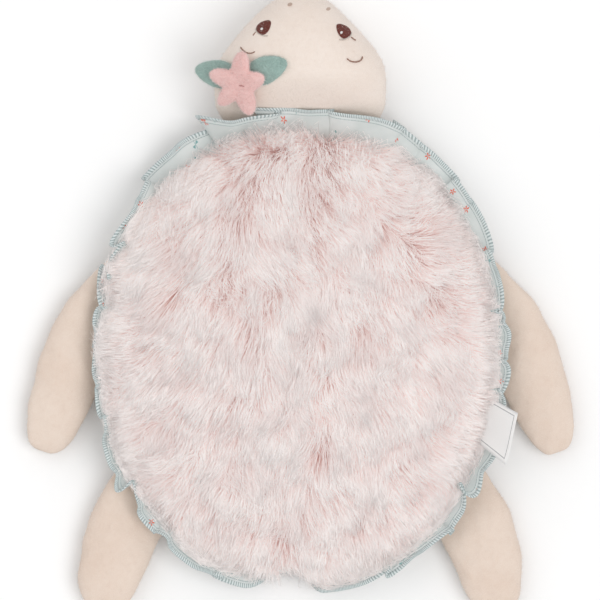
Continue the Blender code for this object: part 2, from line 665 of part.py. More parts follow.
def build_flower() -> None:
    centre = place_on_head(FLOWER_PLACE_SHARES)
    pivot = head_form().origin

    def padded(
        plan: Plan,
        outline: Outline,
        floor: float,
        thickness: float,
        half_sizes: tuple[float, float],
        segments: int,
    ) -> Form:
        """A small form whose underside lies floor above the head's cloth."""

        def seam(a: np.ndarray, b: np.ndarray) -> np.ndarray:
            return head_top(*plan(a, b)) + floor + thickness / 2

        def half(a: np.ndarray, b: np.ndarray) -> np.ndarray:
            return np.full_like(a, thickness / 2 - LIP - GAP / 2)

        return Form(
            plan=plan,
            outline=outline,
            seam=seam,
            rise=half,
            drop=half,
            half_sizes=half_sizes,
            up_power=PAD_POWER,
            down_power=PAD_POWER,
            segments=segments,
            rings=SOFT_RINGS,
            origin=pivot,
        )

    for name, turn in LEAF_TURNS.items():
        start_x, start_y = turned(LEAF_START + LEAF_LENGTH / 2, 0, turn)

        def leaf_plan(
            a: np.ndarray,
            b: np.ndarray,
            turn: float = turn,
            start: tuple[float, float] = (start_x, start_y),
        ) -> tuple[np.ndarray, np.ndarray]:
            x, y = turned(a * LEAF_LENGTH / 2, b * LEAF_WIDTH / 2, turn)
            return centre[0] + start[0] + x, centre[1] + start[1] + y

        form = padded(
            leaf_plan, leaf_outline, GAP, LEAF_THICKNESS, (LEAF_LENGTH / 2, LEAF_WIDTH / 2),
            LEAF_SEGMENTS,
        )
        rings = [form.ring(k, 0, True, GAP / 2 + LIP, 1, 0) for k in form.levels()]
        rings += [form.ring(k, 0, False, GAP / 2 + LIP, 1, 0) for k in form.levels()[::-1]]
        closed_rings(name, "velour_sage", rings, pivot)

    def flower_plan(a: np.ndarray, b: np.ndarray) -> tuple[np.ndarray, np.ndarray]:
        return centre[0] + a * FLOWER_RADIUS, centre[1] + b * FLOWER_RADIUS

    flower = padded(
        flower_plan, flower_outline, LEAF_THICKNESS + 2 * GAP, FLOWER_THICKNESS,
        (FLOWER_RADIUS, FLOWER_RADIUS), FLOWER_SEGMENTS,
    )
    flower.panel("flower_front", "velour_pink", True, FLOWER_CLOTH, FLOWER_CLOTH)
    flower.panel("flower_back", "velour_pink", False, FLOWER_CLOTH, FLOWER_CLOTH)
    flower.filling("flower_filling", "filling_white", (FLOWER_CLOTH, FLOWER_CLOTH), FLOWER_CLOTH)

    def flower_top(x: np.ndarray, y: np.ndarray) -> np.ndarray:
        return head_top(x, y) + LEAF_THICKNESS + FLOWER_THICKNESS + 2 * GAP

    for name, shares in STITCH_PLACES_SHARES.items():
        spot = (centre[0] + shares[0] * FLOWER_RADIUS, centre[1] + shares[1] * FLOWER_RADIUS)
        patch(name, "thread_rose", (STITCH_LENGTH, STITCH_WIDTH), spot, STITCH_TURN, flower_top, SATIN)


def build_face() -> None:
    for side in ("left", "right"):
        eye = place_on_head(EYE_PLACES_SHARES[side])
        patch(f"eye_{side}", "thread_brown", (EYE_LENGTH, EYE_WIDTH), eye, EYE_TURNS[side], head_top, SATIN)

        def on_eye(x: np.ndarray, y: np.ndarray) -> np.ndarray:
            return head_top(x, y) + GAP + SATIN

        glint = (eye[0] + GLINT_SHARES[0] * EYE_LENGTH, eye[1] + GLINT_SHARES[1] * EYE_LENGTH)
        patch(f"eye_glint_{side}", "thread_white", (GLINT_SIZE, GLINT_SIZE), glint, 0, on_eye, SATIN / 2)
        lash_x, lash_y = LASH_SHARES[side]
        lash = (eye[0] + lash_x * EYE_LENGTH, eye[1] + lash_y * EYE_LENGTH)
        patch(
            f"lash_{side}", "thread_brown", (LASH_LENGTH, LASH_WIDTH), lash, LASH_TURNS[side],
            head_top, SATIN,
        )
        brow = place_on_head(BROW_PLACES_SHARES[side])
        patch(
            f"brow_{side}", "thread_brown", (BROW_LENGTH, BROW_WIDTH), brow, BROW_TURNS[side],
            head_top, SATIN, BROW_SAG,
        )
        nostril = place_on_head(NOSTRIL_PLACES_SHARES[side])
        patch(
            f"nostril_{side}", "thread_beige", (NOSTRIL_SIZE, NOSTRIL_SIZE), nostril, 0,
            head_top, SATIN,
        )


def build_turtle() -> None:
    for old in list(bpy.data.objects):
        bpy.data.objects.remove(old, do_unlink=True)
    build_body()
    build_ruffle()
    build_label()
    build_limb("head", head_form())
    for side, word in ((-1, "left"), (1, "right")):
        front = flipper_form(
            side, FRONT_TURN, FRONT_SPAN, FRONT_HALF_WIDTH, FRONT_BEND, FRONT_TIP
        )
        rear = flipper_form(side, REAR_TURN, REAR_SPAN, REAR_HALF_WIDTH, REAR_BEND, REAR_TIP)
        build_limb(f"front_{word}_flipper", front)
        build_limb(f"rear_{word}_flipper", rear)
    build_flower()
    build_face()


build_turtle()
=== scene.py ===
"""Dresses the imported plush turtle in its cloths, pile, print and embroidery.

Everything is in metres in the part's own frame: +Z up, +Y towards the head, +X to the right of
a viewer who looks down at the shell. The origin is on the floor under the middle of the belly.
"""

import logging
import math
from dataclasses import dataclass, field
from enum import Enum
from typing import Callable

import bpy
import numpy as np
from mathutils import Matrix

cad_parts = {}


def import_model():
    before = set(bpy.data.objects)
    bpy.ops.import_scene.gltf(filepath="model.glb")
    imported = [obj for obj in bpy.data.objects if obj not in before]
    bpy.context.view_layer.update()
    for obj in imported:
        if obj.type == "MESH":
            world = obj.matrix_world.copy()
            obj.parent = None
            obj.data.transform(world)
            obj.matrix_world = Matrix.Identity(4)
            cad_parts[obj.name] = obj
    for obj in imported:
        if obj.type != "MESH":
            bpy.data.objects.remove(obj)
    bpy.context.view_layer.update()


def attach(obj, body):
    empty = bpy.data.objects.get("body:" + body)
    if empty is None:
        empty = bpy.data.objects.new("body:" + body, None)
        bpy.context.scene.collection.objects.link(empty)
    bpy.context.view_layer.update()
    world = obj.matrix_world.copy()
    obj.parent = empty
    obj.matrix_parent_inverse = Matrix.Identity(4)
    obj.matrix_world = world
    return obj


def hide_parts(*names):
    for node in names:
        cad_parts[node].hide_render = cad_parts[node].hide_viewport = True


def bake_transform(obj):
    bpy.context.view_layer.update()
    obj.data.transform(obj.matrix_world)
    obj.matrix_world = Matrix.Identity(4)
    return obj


log = logging.getLogger("turtle")

MM = 0.001
TURN = 2 * math.pi
GAP = 0.3 * MM  # left between neighbouring pieces
ROOT_GAP = 0.7 * MM  # between the body seam and a limb's sewn end
LIP = 0.5 * MM  # cloth thickness where two panels meet
FLOOR_CUT = 0.5 * MM  # how far a form's round underside would reach below the floor
COTTON = 0.8 * MM  # thickness of the ruffle's cloth
LOOSE_PILE = (1.3 * MM, 0.06 * MM)  # length and radius of a fibre on the large covers
PAD_PILE = (1.2 * MM, 0.09 * MM)  # the same on the flower and the leaves
MAP = "OFBake"
BODY = "body"

Array = np.ndarray
Pair = tuple[Array, Array]


# Shared formulas


def smooth_step(value: Array) -> Array:
    """0 below 0, 1 above 1 and an even S between them."""
    held = np.clip(value, 0, 1)
    return held * held * (3 - 2 * held)


def turned(x: Array, y: Array, turn: float) -> Pair:
    """A plan point turned round the origin."""
    return x * math.cos(turn) - y * math.sin(turn), x * math.sin(turn) + y * math.cos(turn)


def turn_between(turn: Array, middle: float) -> Array:
    """The size of the turn from middle, the shorter way round."""
    return np.abs(np.angle(np.exp(1j * (turn - middle))))


def unit(vectors: Array) -> Array:
    """Vectors brought to length one along their last axis."""
    return vectors / np.maximum(np.linalg.norm(vectors, axis=-1, keepdims=True), 1e-12)


def crown(level: float, power: float) -> tuple[float, float]:
    """Reach and height, as shares, at a level of 0 to 1 up a superellipse's quarter."""
    climb = level * math.pi / 2
    return math.cos(climb) ** (2 / power), math.sin(climb) ** (2 / power)


def round_outline(near_power: float, far_power: float) -> Callable[[Array], Pair]:
    """The rim of a disc of (a, b): one squareness where a is below 0, another above.

    Args:
        near_power: superellipse power of the half that is sewn on.
        far_power: superellipse power of the free half.

    Returns:
        A function from a turn to the rim's (a, b).
    """

    def rim(turn: Array) -> Pair:
        """The rim's point at that turn, by the superellipse in polar form."""
        shape = np.where(np.cos(turn) < 0, near_power, far_power)
        reach = (np.abs(np.cos(turn)) ** shape + np.abs(np.sin(turn)) ** shape) ** (-1 / shape)
        return reach * np.cos(turn), reach * np.sin(turn)

    return rim


def ripples(x: Array, y: Array, size: float, seed: int, waves: int = 7) -> Array:
    """An even, smooth unevenness: a sum of sines whose directions and phases are drawn once.

    Args:
        x, y: plan points.
        size: about how far apart two swells are.
        seed: which draw.
        waves: how many sines.

    Returns:
        Values of about -1 to 1.
    """
    draw = np.random.default_rng(seed)
    total = np.zeros(np.broadcast(x, y).shape)
    for heading, phase, stretch in draw.uniform((0, 0, 0.7), (TURN, TURN, 1.5), (waves, 3)):
        step = TURN / (size * stretch)
        total = total + np.sin(step * (x * math.cos(heading) + y * math.sin(heading)) + phase)
    return total / math.sqrt(waves) * 0.8


# Meshes


@dataclass(frozen=True)
class Grid:
    """Faces of a grid of points, which may run round in either direction."""

    rows: int
    columns: int
    round_rows: bool = False
    round_columns: bool = False

    def faces(self) -> Array:
        """Quads as point numbers, four a row, turned the same way everywhere."""
        return self._corners()[0]

    def spots(self) -> Array:
        """Row and column of each corner, which go on past the last where the grid runs round."""
        return self._corners()[1]

    def _corners(self) -> Pair:
        """Point numbers and unwrapped (row, column) of the quads' corners."""
        down = self.rows if self.round_rows else self.rows - 1
        along = self.columns if self.round_columns else self.columns - 1
        row, column = (v.ravel() for v in np.meshgrid(np.arange(down), np.arange(along), indexing="ij"))
        rows = np.stack([row, row, row + 1, row + 1], 1)
        columns = np.stack([column, column + 1, column + 1, column], 1)
        number = (rows % self.rows) * self.columns + columns % self.columns
        return number, np.stack([rows, columns], 2).astype(float)


@dataclass
class Surface:
    """Points, faces and map of one piece while it is made.

    faces holds one array for each count of corners. uv holds the matching places on the map.
    """

    points: Array
    faces: list[Array]
    uv: list[Array] = field(default_factory=list)

    def made(self, name: str, look: bpy.types.Material) -> bpy.types.Object:
        """The finished object, which sits at the origin."""
        corners = np.concatenate([f.ravel() for f in self.faces]).astype(np.int32)
        totals = np.concatenate([np.full(len(f), f.shape[1]) for f in self.faces]).astype(np.int32)
        mesh = bpy.data.meshes.new(name)
        mesh.vertices.add(len(self.points))
        mesh.vertices.foreach_set("co", self.points.astype(np.float32).ravel())
        mesh.loops.add(len(corners))
        mesh.loops.foreach_set("vertex_index", corners)
        mesh.polygons.add(len(totals))
        starts = np.concatenate([[0], np.cumsum(totals)[:-1]]).astype(np.int32)
        mesh.polygons.foreach_set("loop_start", starts)
        mesh.polygons.foreach_set("loop_total", totals)
        mesh.update(calc_edges=True)
        mesh.shade_smooth()
        if self.uv:
            layer = mesh.uv_layers.new(name=MAP)
            spots = np.concatenate([u.reshape(-1, 2) for u in self.uv]).astype(np.float32)
            layer.uv.foreach_set("vector", spots.ravel())
        mesh.materials.append(look)
        made = bpy.data.objects.new(name, mesh)
        bpy.context.scene.collection.objects.link(made)
        return made

    def volume(self) -> float:
        """The volume inside, below 0 where the faces look inward: a sum of the faces' pyramids."""
        total = 0.0
        for faces in self.faces:
            for corner in range(1, faces.shape[1] - 1):
                a, b, c = (self.points[faces[:, k]] for k in (0, corner, corner + 1))
                total += float(np.einsum("ij,ij->", a, np.cross(b, c))) / 6
        return total

    def outward(self) -> "Surface":
        """The same surface with its faces turned to look outward."""
        if self.volume() < 0:
            self.faces = [f[:, ::-1] for f in self.faces]
            self.uv = [u[:, ::-1] for u in self.uv]
        return self

    def normals(self) -> Array:
        """Each point's outward direction: the sum of its faces' crosses of diagonals or sides."""
        total = np.zeros_like(self.points)
        for faces in self.faces:
            p = self.points[faces]
            if faces.shape[1] == 4:
                cross = np.cross(p[:, 2] - p[:, 0], p[:, 3] - p[:, 1])
            else:
                cross = np.cross(p[:, 1] - p[:, 0], p[:, 2] - p[:, 0])
            for corner in range(faces.shape[1]):
                np.add.at(total, faces[:, corner], cross)
        return unit(total)

    def scattered(self, count: int, draw: np.random.Generator, normals: Array, above: float = 0.0) -> Pair:
        """Points spread evenly over the quads.

        Args:
            count: how many.
            draw: the random draw.
            normals: each point's outward direction.
            above: the height that a quad must lie above.

        Returns:
            The places and their outward directions.
        """
        quads = self.faces[0]
        quads = quads[self.points[quads, 2].min(1) >= above]
        p, n = self.points[quads], normals[quads]
        area = np.linalg.norm(np.cross(p[:, 2] - p[:, 0], p[:, 3] - p[:, 1]), axis=1)
        chosen = draw.choice(len(quads), count, p=area / area.sum())
        s, t = draw.random((2, count, 1))
        weights = [(1 - s) * (1 - t), s * (1 - t), s * t, (1 - s) * t]
        spots = sum(w * p[chosen, k] for k, w in enumerate(weights))
        return spots, unit(sum(w * n[chosen, k] for k, w in enumerate(weights)))


def skin_over(rings: Array) -> Surface:
    """A closed skin over rings of equal count, shut to a point at both ends.

    Args:
        rings: rings by points by XYZ, from one end to the other.

    Returns:
        The surface.
    """
    count, round_ = rings.shape[:2]
    grid = Grid(count, round_, round_columns=True)
    side = np.arange(round_)
    after = (side + 1) % round_
    first, last = count * round_, count * round_ + 1
    ends = (count - 1) * round_
    fans = np.concatenate(
        [
            np.stack([np.full(round_, first), after, side], 1),
            np.stack([np.full(round_, last), ends + side, ends + after], 1),
        ]
    )
    points = np.concatenate([rings.reshape(-1, 3), [rings[0].mean(0)], [rings[-1].mean(0)]])
    return Surface(points, [grid.faces(), fans]).outward()


def cloth_shell(top: Array, under: Array, flat: Array, round_rows: bool = False) -> Surface:
    """A thin closed cloth from its two sides.

    Args:
        top, under: rows by columns by XYZ.
        flat: the same grid's places on the flat cloth, one row more where it runs round.
        round_rows: whether the last row joins the first.

    Returns:
        The surface, with the flat cloth's places as its map.
    """
    rows, columns = top.shape[:2]
    ring = np.concatenate([top, under[:, ::-1]], axis=1)
    grid = Grid(rows, 2 * columns, round_rows, True)
    places = np.concatenate([flat, flat[:, ::-1]], axis=1)
    spots = grid.spots().astype(int)
    uv = places[spots[..., 0], spots[..., 1] % (2 * columns)]
    faces, uvs = [grid.faces()[:, ::-1]], [uv[:, ::-1]]
    if not round_rows:
        width = np.arange(columns - 1)
        for row, flip in ((0, False), (rows - 1, True)):
            base = row * 2 * columns
            back = base + 2 * columns - 2 - width
            cap = np.stack([base + width, base + width + 1, back, back + 1], 1)
            if flip:
                cap = cap[:, ::-1]
            faces.append(cap)
            uvs.append(places.reshape(-1, 2)[cap])
    return Surface(ring.reshape(-1, 3), faces, uvs).outward()


def rope_round(
    centre: Array, out: Array, up: Array, sizes: Array, corners: int, along: Array, closed: bool
) -> Surface:
    """A profile of ellipses carried along a path.

    Args:
        centre: stations by XYZ.
        out, up: the ellipses' two directions at each station.
        sizes: stations by the two half sizes.
        corners: points of each ellipse.
        along: length along the path at each station, one more where it is closed.
        closed: whether the last station joins the first.

    Returns:
        The surface. Its map holds the length along and the share round.
    """
    turn = np.arange(corners) * TURN / corners
    ring = (
        centre[:, None]
        + out[:, None] * (np.cos(turn) * sizes[:, :1])[..., None]
        + up[:, None] * (np.sin(turn) * sizes[:, 1:])[..., None]
    )
    if not closed:
        return skin_over(ring)
    grid = Grid(len(centre), corners, True, True)
    spots = grid.spots()
    uv = np.stack([along[spots[..., 0].astype(int)], spots[..., 1] / corners], 2)
    return Surface(ring.reshape(-1, 3), [grid.faces()], [uv]).outward()


def spikes(paths: Array, up: Array, radii: Array, tones: Array) -> Surface:
    """Closed three-sided hairs that taper to a point.

    Each path's points but the last carry a triangle across the hair, and the last is the tip.

    Args:
        paths: hairs by points by XYZ, from root to tip.
        up: one direction for each hair that isn't along it.
        radii: radius at each point but the last, hairs by points.
        tones: a number from 0 to 1 for each hair, which picks its shade.

    Returns:
        The surface. Its map holds the share along the hair and the tone.
    """
    count, steps = paths.shape[0], paths.shape[1] - 1
    way = unit(np.diff(paths, axis=1))
    side = unit(np.cross(way, up[:, None]))
    rise = np.cross(side, way)
    turn = np.arange(3) * TURN / 3 - math.pi / 2
    rings = paths[:, :-1, None] + radii[:, :, None, None] * (
        np.cos(turn)[:, None] * side[:, :, None] + np.sin(turn)[:, None] * rise[:, :, None]
    )
    points = np.concatenate([rings.reshape(count, -1, 3), paths[:, -1:]], axis=1)
    size = steps * 3 + 1
    base = np.arange(count)[:, None, None] * size
    here = np.arange(steps - 1)[:, None] * 3 + np.arange(3)
    beside = np.arange(steps - 1)[:, None] * 3 + (np.arange(3) + 1) % 3
    quads = np.stack([here, here + 3, beside + 3, beside], -1).reshape(1, -1, 4) + base
    end = (steps - 1) * 3
    tip = np.stack([end + (np.arange(3) + 1) % 3, end + np.arange(3), np.full(3, size - 1)], 1)
    tris = np.concatenate([tip, [[0, 1, 2]]])[None] + base
    share = np.append(np.repeat(np.arange(steps) / steps, 3), 1.0)
    across = np.append(np.tile(np.arange(3) - 1.0, steps), 0.0) * 0.004
    spread = np.stack(np.broadcast_arrays(share[None], tones[:, None] * 0.98 + 0.01 + across), -1)
    spread = spread.reshape(-1, 2)
    faces = [f for f in (quads.reshape(-1, 4), tris.reshape(-1, 3)) if len(f)]
    return Surface(points.reshape(-1, 3), faces, [spread[f] for f in faces])


# Shaders


class Value:
    """A shader socket that takes part in sums, so that an expression adds its nodes."""

    def __init__(self, shader: "Shader", socket: bpy.types.NodeSocket) -> None:
        self.shader = shader
        self.socket = socket

    def _maths(self, operation: str, *others: object) -> "Value":
        """A Math node on this value and the others."""
        return self.shader.add("ShaderNodeMath", {"operation": operation}, dict(enumerate(others)))

    def __add__(self, other: object) -> "Value":
        """The sum."""
        return self._maths("ADD", self, other)

    def __sub__(self, other: object) -> "Value":
        """The difference."""
        return self._maths("SUBTRACT", self, other)

    def __rsub__(self, other: object) -> "Value":
        """The difference, the other way."""
        return self._maths("SUBTRACT", other, self)

    def __mul__(self, other: object) -> "Value":
        """The product."""
        return self._maths("MULTIPLY", self, other)

    def __truediv__(self, other: object) -> "Value":
        """The quotient."""
        return self._maths("DIVIDE", self, other)

    def __lt__(self, other: object) -> "Value":
        """1 where this is less."""
        return self._maths("LESS_THAN", self, other)

    __radd__ = __add__
    __rmul__ = __mul__

    def least(self, other: object) -> "Value":
        """The smaller."""
        return self._maths("MINIMUM", self, other)

    def most(self, other: object) -> "Value":
        """The larger."""
        return self._maths("MAXIMUM", self, other)

    def size(self) -> "Value":
        """The value without its sign."""
        return self._maths("ABSOLUTE", self)

    def root(self) -> "Value":
        """The square root."""
        return self._maths("SQRT", self)

    def angle_to(self, other: object) -> "Value":
        """The angle whose tangent is this over the other."""
        return self._maths("ARCTAN2", self, other)

    def sine(self) -> "Value":
        """The sine."""
        return self._maths("SINE", self)

    def cosine(self) -> "Value":
        """The cosine."""
        return self._maths("COSINE", self)

    def output(self, key: int | str) -> "Value":
        """Another output of the same node."""
        return Value(self.shader, self.socket.node.outputs[key])

    def between(self, low: float, high: float) -> "Value":
        """0 at low, 1 at high, and an S between them."""
        return self.shader.add(
            "ShaderNodeMapRange",
            {"interpolation_type": "SMOOTHSTEP"},
            {"Value": self, "From Min": low, "From Max": high},
        )


class Shader:
    """One material with a Principled shader, built from expressions."""

    def __init__(self, name: str) -> None:
        self.material = bpy.data.materials.new(name)
        self.material.use_nodes = True
        self.tree = self.material.node_tree
        self.surface = self.tree.nodes["Principled BSDF"]

    def add(
        self, kind: str, settings: dict[str, object], inputs: dict, output: int | str = 0
    ) -> Value:
        """One node.

        Args:
            kind: the node's type.
            settings: what is set before its sockets are.
            inputs: values or links by socket.
            output: which socket the result is.

        Returns:
            That socket.
        """
        made = self.tree.nodes.new(kind)
        for key, value in settings.items():
            setattr(made, key, value)
        for key, value in inputs.items():
            self.put(made.inputs[key], value)
        return Value(self, made.outputs[output])

    def put(self, socket: bpy.types.NodeSocket, value: object) -> None:
        """Links a Value, or sets a number or a colour."""
        if isinstance(value, Value):
            self.tree.links.new(value.socket, socket)
        else:
            socket.default_value = value

    def coordinates(self) -> Value:
        """Object coordinates."""
        return self.add("ShaderNodeTexCoord", {}, {}, "Object")

    def map(self) -> tuple[Value, Value, Value]:
        """The piece's own map: the place, and its two numbers."""
        place = self.add("ShaderNodeUVMap", {"uv_map": MAP}, {})
        parts = self.add("ShaderNodeSeparateXYZ", {}, {0: place})
        return place, parts, parts.output(1)

    def noise(self, place: Value, scale: float, detail: float = 2.0, **more: float) -> Value:
        """A noise of about 0 to 1."""
        return self.add(
            "ShaderNodeTexNoise", {}, {"Vector": place, "Scale": scale, "Detail": detail, **more}
        )

    def mix(self, share: object, low: object, high: object, blend: str = "MIX") -> Value:
        """A colour between two, or one blended on another."""
        return self.add(
            "ShaderNodeMix", {"data_type": "RGBA", "blend_type": blend}, {0: share, 6: low, 7: high}, 2
        )

    def bump(self, height: Value, depth: float, strength: float = 1.0) -> None:
        """Raises the surface by a height of 0 to 1 that stands for depth."""
        bump = self.add(
            "ShaderNodeBump", {}, {"Height": height, "Distance": depth, "Strength": strength}
        )
        self.put(self.surface.inputs["Normal"], bump)

    def set(self, **values: object) -> None:
        """Sets or links the shader's own sockets, with _ for a space in their names."""
        for key, value in values.items():
            self.put(self.surface.inputs[key.replace("_", " ")], value)


def paint(red: float, green: float, blue: float) -> tuple[float, float, float, float]:
    """A colour as it is on screen, in the linear values that a shader takes."""
    shares = np.array([red, green, blue])
    low = shares / 12.92
    high = ((shares + 0.055) / 1.055) ** 2.4
    return (*np.where(shares < 0.04045, low, high).tolist(), 1.0)


@dataclass(frozen=True)
class LongPileFinish:
    """Fine, long polyester pile: pale tips over darker roots, tinted from lock to lock."""

    root: tuple = (0.85, 0.69, 0.665)
    middle: tuple = (0.888, 0.805, 0.788)
    tip: tuple = (0.94, 0.922, 0.915)
    cool_tip: tuple = (0.895, 0.858, 0.85)
    # painted glow: how strongly the pile emits its own colour, standing in for the light that bundles of
    # fibres pass on to one another
    painted_glow: float = 0.26  # light that bundles of fibres pass on to one another

    def material(self) -> bpy.types.Material:
        """Colour runs with the map's first number, from root to tip, and its second tints it."""
        made = Shader("long_pile_pink")
        _, along, tone = made.map()
        lower = made.mix(along.between(0.02, 0.38), paint(*self.root), paint(*self.middle))
        pale = made.mix(tone, paint(*self.tip), paint(*self.cool_tip))
        colour = made.mix(along.between(0.22, 0.7), lower, pale)
        made.set(
            Base_Color=colour,
            Roughness=0.75 + 0.15 * along,
            # painted glow: the pile emits its own colour
            Emission_Color=colour,
            Emission_Strength=self.painted_glow,
            Sheen_Weight=0.2,
            Sheen_Roughness=0.4,
            Specular_IOR_Level=0.25,
        )
        return made.material


@dataclass(frozen=True)
class BackingFinish:
    """The knitted ground that the pile grows from, with the pile's darker feet."""

    colour: tuple = (0.88, 0.75, 0.73)
    shade: tuple = (0.82, 0.66, 0.64)

    def material(self) -> bpy.types.Material:
        """Two noises mix the colours, and the finer one raises the feet of the pile."""
        made = Shader("pile_ground")
        at = made.coordinates()
        feet = made.noise(at, 900, 3)
        share = feet * 0.6 + made.noise(at, 60, 2) * 0.4
        made.set(
            Base_Color=made.mix(share.between(0.3, 0.7), paint(*self.shade), paint(*self.colour)),
            Roughness=0.95,
            Sheen_Weight=0.2,
        )
        made.bump(feet, 0.6 * MM)
        return made.material


@dataclass(frozen=True)
class VelourFinish:
    """Short dense pile: a soft sheen, brushed patches and a grain of pile tips."""

    name: str
    colour: tuple
    deep: tuple
    sheen: float = 0.3
    grain: float = 1700
    nap: float = 0.14 * MM

    def material(self) -> bpy.types.Material:
        """Fine grain and broad brushed patches shade the colour, and the grain raises it."""
        made = Shader(self.name)
        at = made.coordinates()
        grain = made.noise(at, self.grain, 2, Roughness=0.6)
        brushed = made.noise(at, 30, 2, Distortion=0.4)
        knit = made.noise(at, 420, 1)
        share = grain * 0.3 + brushed * 0.5 + knit * 0.2
        made.set(
            Base_Color=made.mix(share.between(0.2, 0.8), paint(*self.deep), paint(*self.colour)),
            Roughness=0.86 + 0.1 * grain,
            Sheen_Weight=self.sheen,
            Sheen_Roughness=0.5,
            Specular_IOR_Level=0.2,
        )
        made.bump(grain * 0.6 + knit * 0.4, self.nap)
        return made.material


@dataclass(frozen=True)
class FuzzFinish:
    """Loose fibre tips that stand off a velour, a little paler than it: partly their own colour, partly a
    painted highlight, with a painted glow.
    """

    name: str
    colour: tuple
    pale: tuple
    # painted glow: how strongly the fibres emit their own colour, standing in for the light that the fibres
    # pass on to one another
    painted_glow: float = 0.12  # light that the fibres pass on to one another

    def material(self) -> bpy.types.Material:
        """Colour runs from the cloth's at the root to the pale tip, by the map's first number."""
        made = Shader(self.name)
        _, along, tone = made.map()
        share = (along * 0.8 + tone * 0.2).between(0, 1)
        colour = made.mix(share, paint(*self.colour), paint(*self.pale))
        made.set(
            Base_Color=colour,
            # painted glow: the fibres emit their own colour, and their pale tips are partly a painted
            # highlight
            Emission_Color=colour,
            Emission_Strength=self.painted_glow,
            Roughness=0.9,
            Sheen_Weight=0.3,
            Specular_IOR_Level=0.2,
        )
        return made.material


@dataclass(frozen=True)
class PrintedCottonFinish:
    """Fine plain-woven cotton, mint, printed with small blossoms, sprigs and dots.

    The print is this part's own: each cell of a Voronoi pattern over the flat cloth holds one
    motif round its own point, turned by its own angle.
    """

    mint: tuple = (0.905, 0.925, 0.92)
    shade: tuple = (0.855, 0.885, 0.878)
    orange: tuple = (0.92, 0.38, 0.24)
    teal: tuple = (0.40, 0.65, 0.65)
    repeat: float = 14.5 * MM  # from one motif to the next
    motif: float = 2.1 * MM  # radius
    kinds: tuple[float, float] = (0.46, 0.86)  # up to which draw it is a blossom, then a sprig
    dot: float = 0.34  # radius, as a share of the motif's
    yarn: float = 0.36 * MM  # one over and under of the weave
    # painted shade: a darker colour for between the yarns
    hollow: tuple = (0.70, 0.73, 0.72)  # between the yarns

    def material(self) -> bpy.types.Material:
        """Motifs by polar formulas round the cells' points, and a weave of crossed sines."""
        made = Shader("cotton_mint")
        place, along, across = made.map()
        cells = {"Vector": place, "Scale": 1 / self.repeat, "Randomness": 0.75}
        settings = {"voronoi_dimensions": "2D"}
        spot = made.add("ShaderNodeTexVoronoi", settings, cells, "Position")
        draw = made.add("ShaderNodeTexVoronoi", settings, cells, "Color")
        parts = made.add("ShaderNodeSeparateColor", {}, {0: draw})
        kind, turn = parts, parts.output(1)
        # Position comes back in the map's own units.
        off = made.add("ShaderNodeVectorMath", {"operation": "SUBTRACT"}, {0: place, 1: spot})
        away = made.add("ShaderNodeSeparateXYZ", {}, {0: off})
        dx, dy = away, away.output(1)
        reach = (dx * dx + dy * dy).root() / self.motif
        angle = dy.angle_to(dx) + turn * TURN
        petals = 0.62 + 0.38 * (angle * 5).cosine()
        blossom = (reach < petals) * (1 - (reach < 0.16))
        leaves = (reach < angle.cosine().size() * 1.15) * (angle.sine().size() < 0.42)
        stem = (reach < 1.25) * ((angle + 1.1).sine().size() * reach < 0.09)
        is_blossom, no_dot = (kind < limit for limit in self.kinds)
        first = is_blossom * blossom
        second = (1 - is_blossom) * no_dot * leaves.most(stem * 0.7)
        third = (1 - no_dot) * (reach < self.dot)
        weft, warp = ((way * (TURN / self.yarn)).sine() for way in (along, across))
        weave = weft * warp * 0.5 + 0.5
        cloud = made.noise(made.coordinates(), 55, 2)
        ground = made.mix(cloud.between(0.3, 0.7), paint(*self.shade), paint(*self.mint))
        printed = made.mix(second.most(third) * 0.85, ground, paint(*self.teal))
        printed = made.mix(first * 0.9, printed, paint(*self.orange))
        made.set(
            # painted shade between the yarns, mixed in by the weave
            Base_Color=made.mix(weave * 0.10, printed, paint(*self.hollow)),
            Roughness=0.8 + 0.12 * weave,
            Sheen_Weight=0.15,
            Specular_IOR_Level=0.3,
        )
        made.bump(weave, 0.08 * MM)
        return made.material


@dataclass(frozen=True)
class ThreadFinish:
    """Twisted thread: fine plies across its run, glossy where they bulge."""

    name: str
    colour: tuple
    deep: tuple
    ply: float = 0.42 * MM
    gloss: float = 0.5
    by_map: bool = False

    def material(self) -> bpy.types.Material:
        """Plies are a sine along the map's first number, or slanted through space."""
        made = Shader(self.name)
        at = made.coordinates()
        if self.by_map:
            _, along, round_ = made.map()
            run = along * (TURN / self.ply) + round_ * TURN
        else:
            parts = made.add("ShaderNodeSeparateXYZ", {}, {0: at})
            run = (parts + parts.output(1)) * (TURN / self.ply)
        plies = run.sine() * 0.5 + 0.5
        uneven = made.noise(at, 700, 2)
        share = plies * 0.65 + uneven * 0.35
        made.set(
            Base_Color=made.mix(share.between(0.15, 0.75), paint(*self.deep), paint(*self.colour)),
            Roughness=1 - self.gloss + 0.2 * uneven,
            Sheen_Weight=0.1,
        )
        made.bump(plies, 0.1 * MM, 0.7)
        return made.material


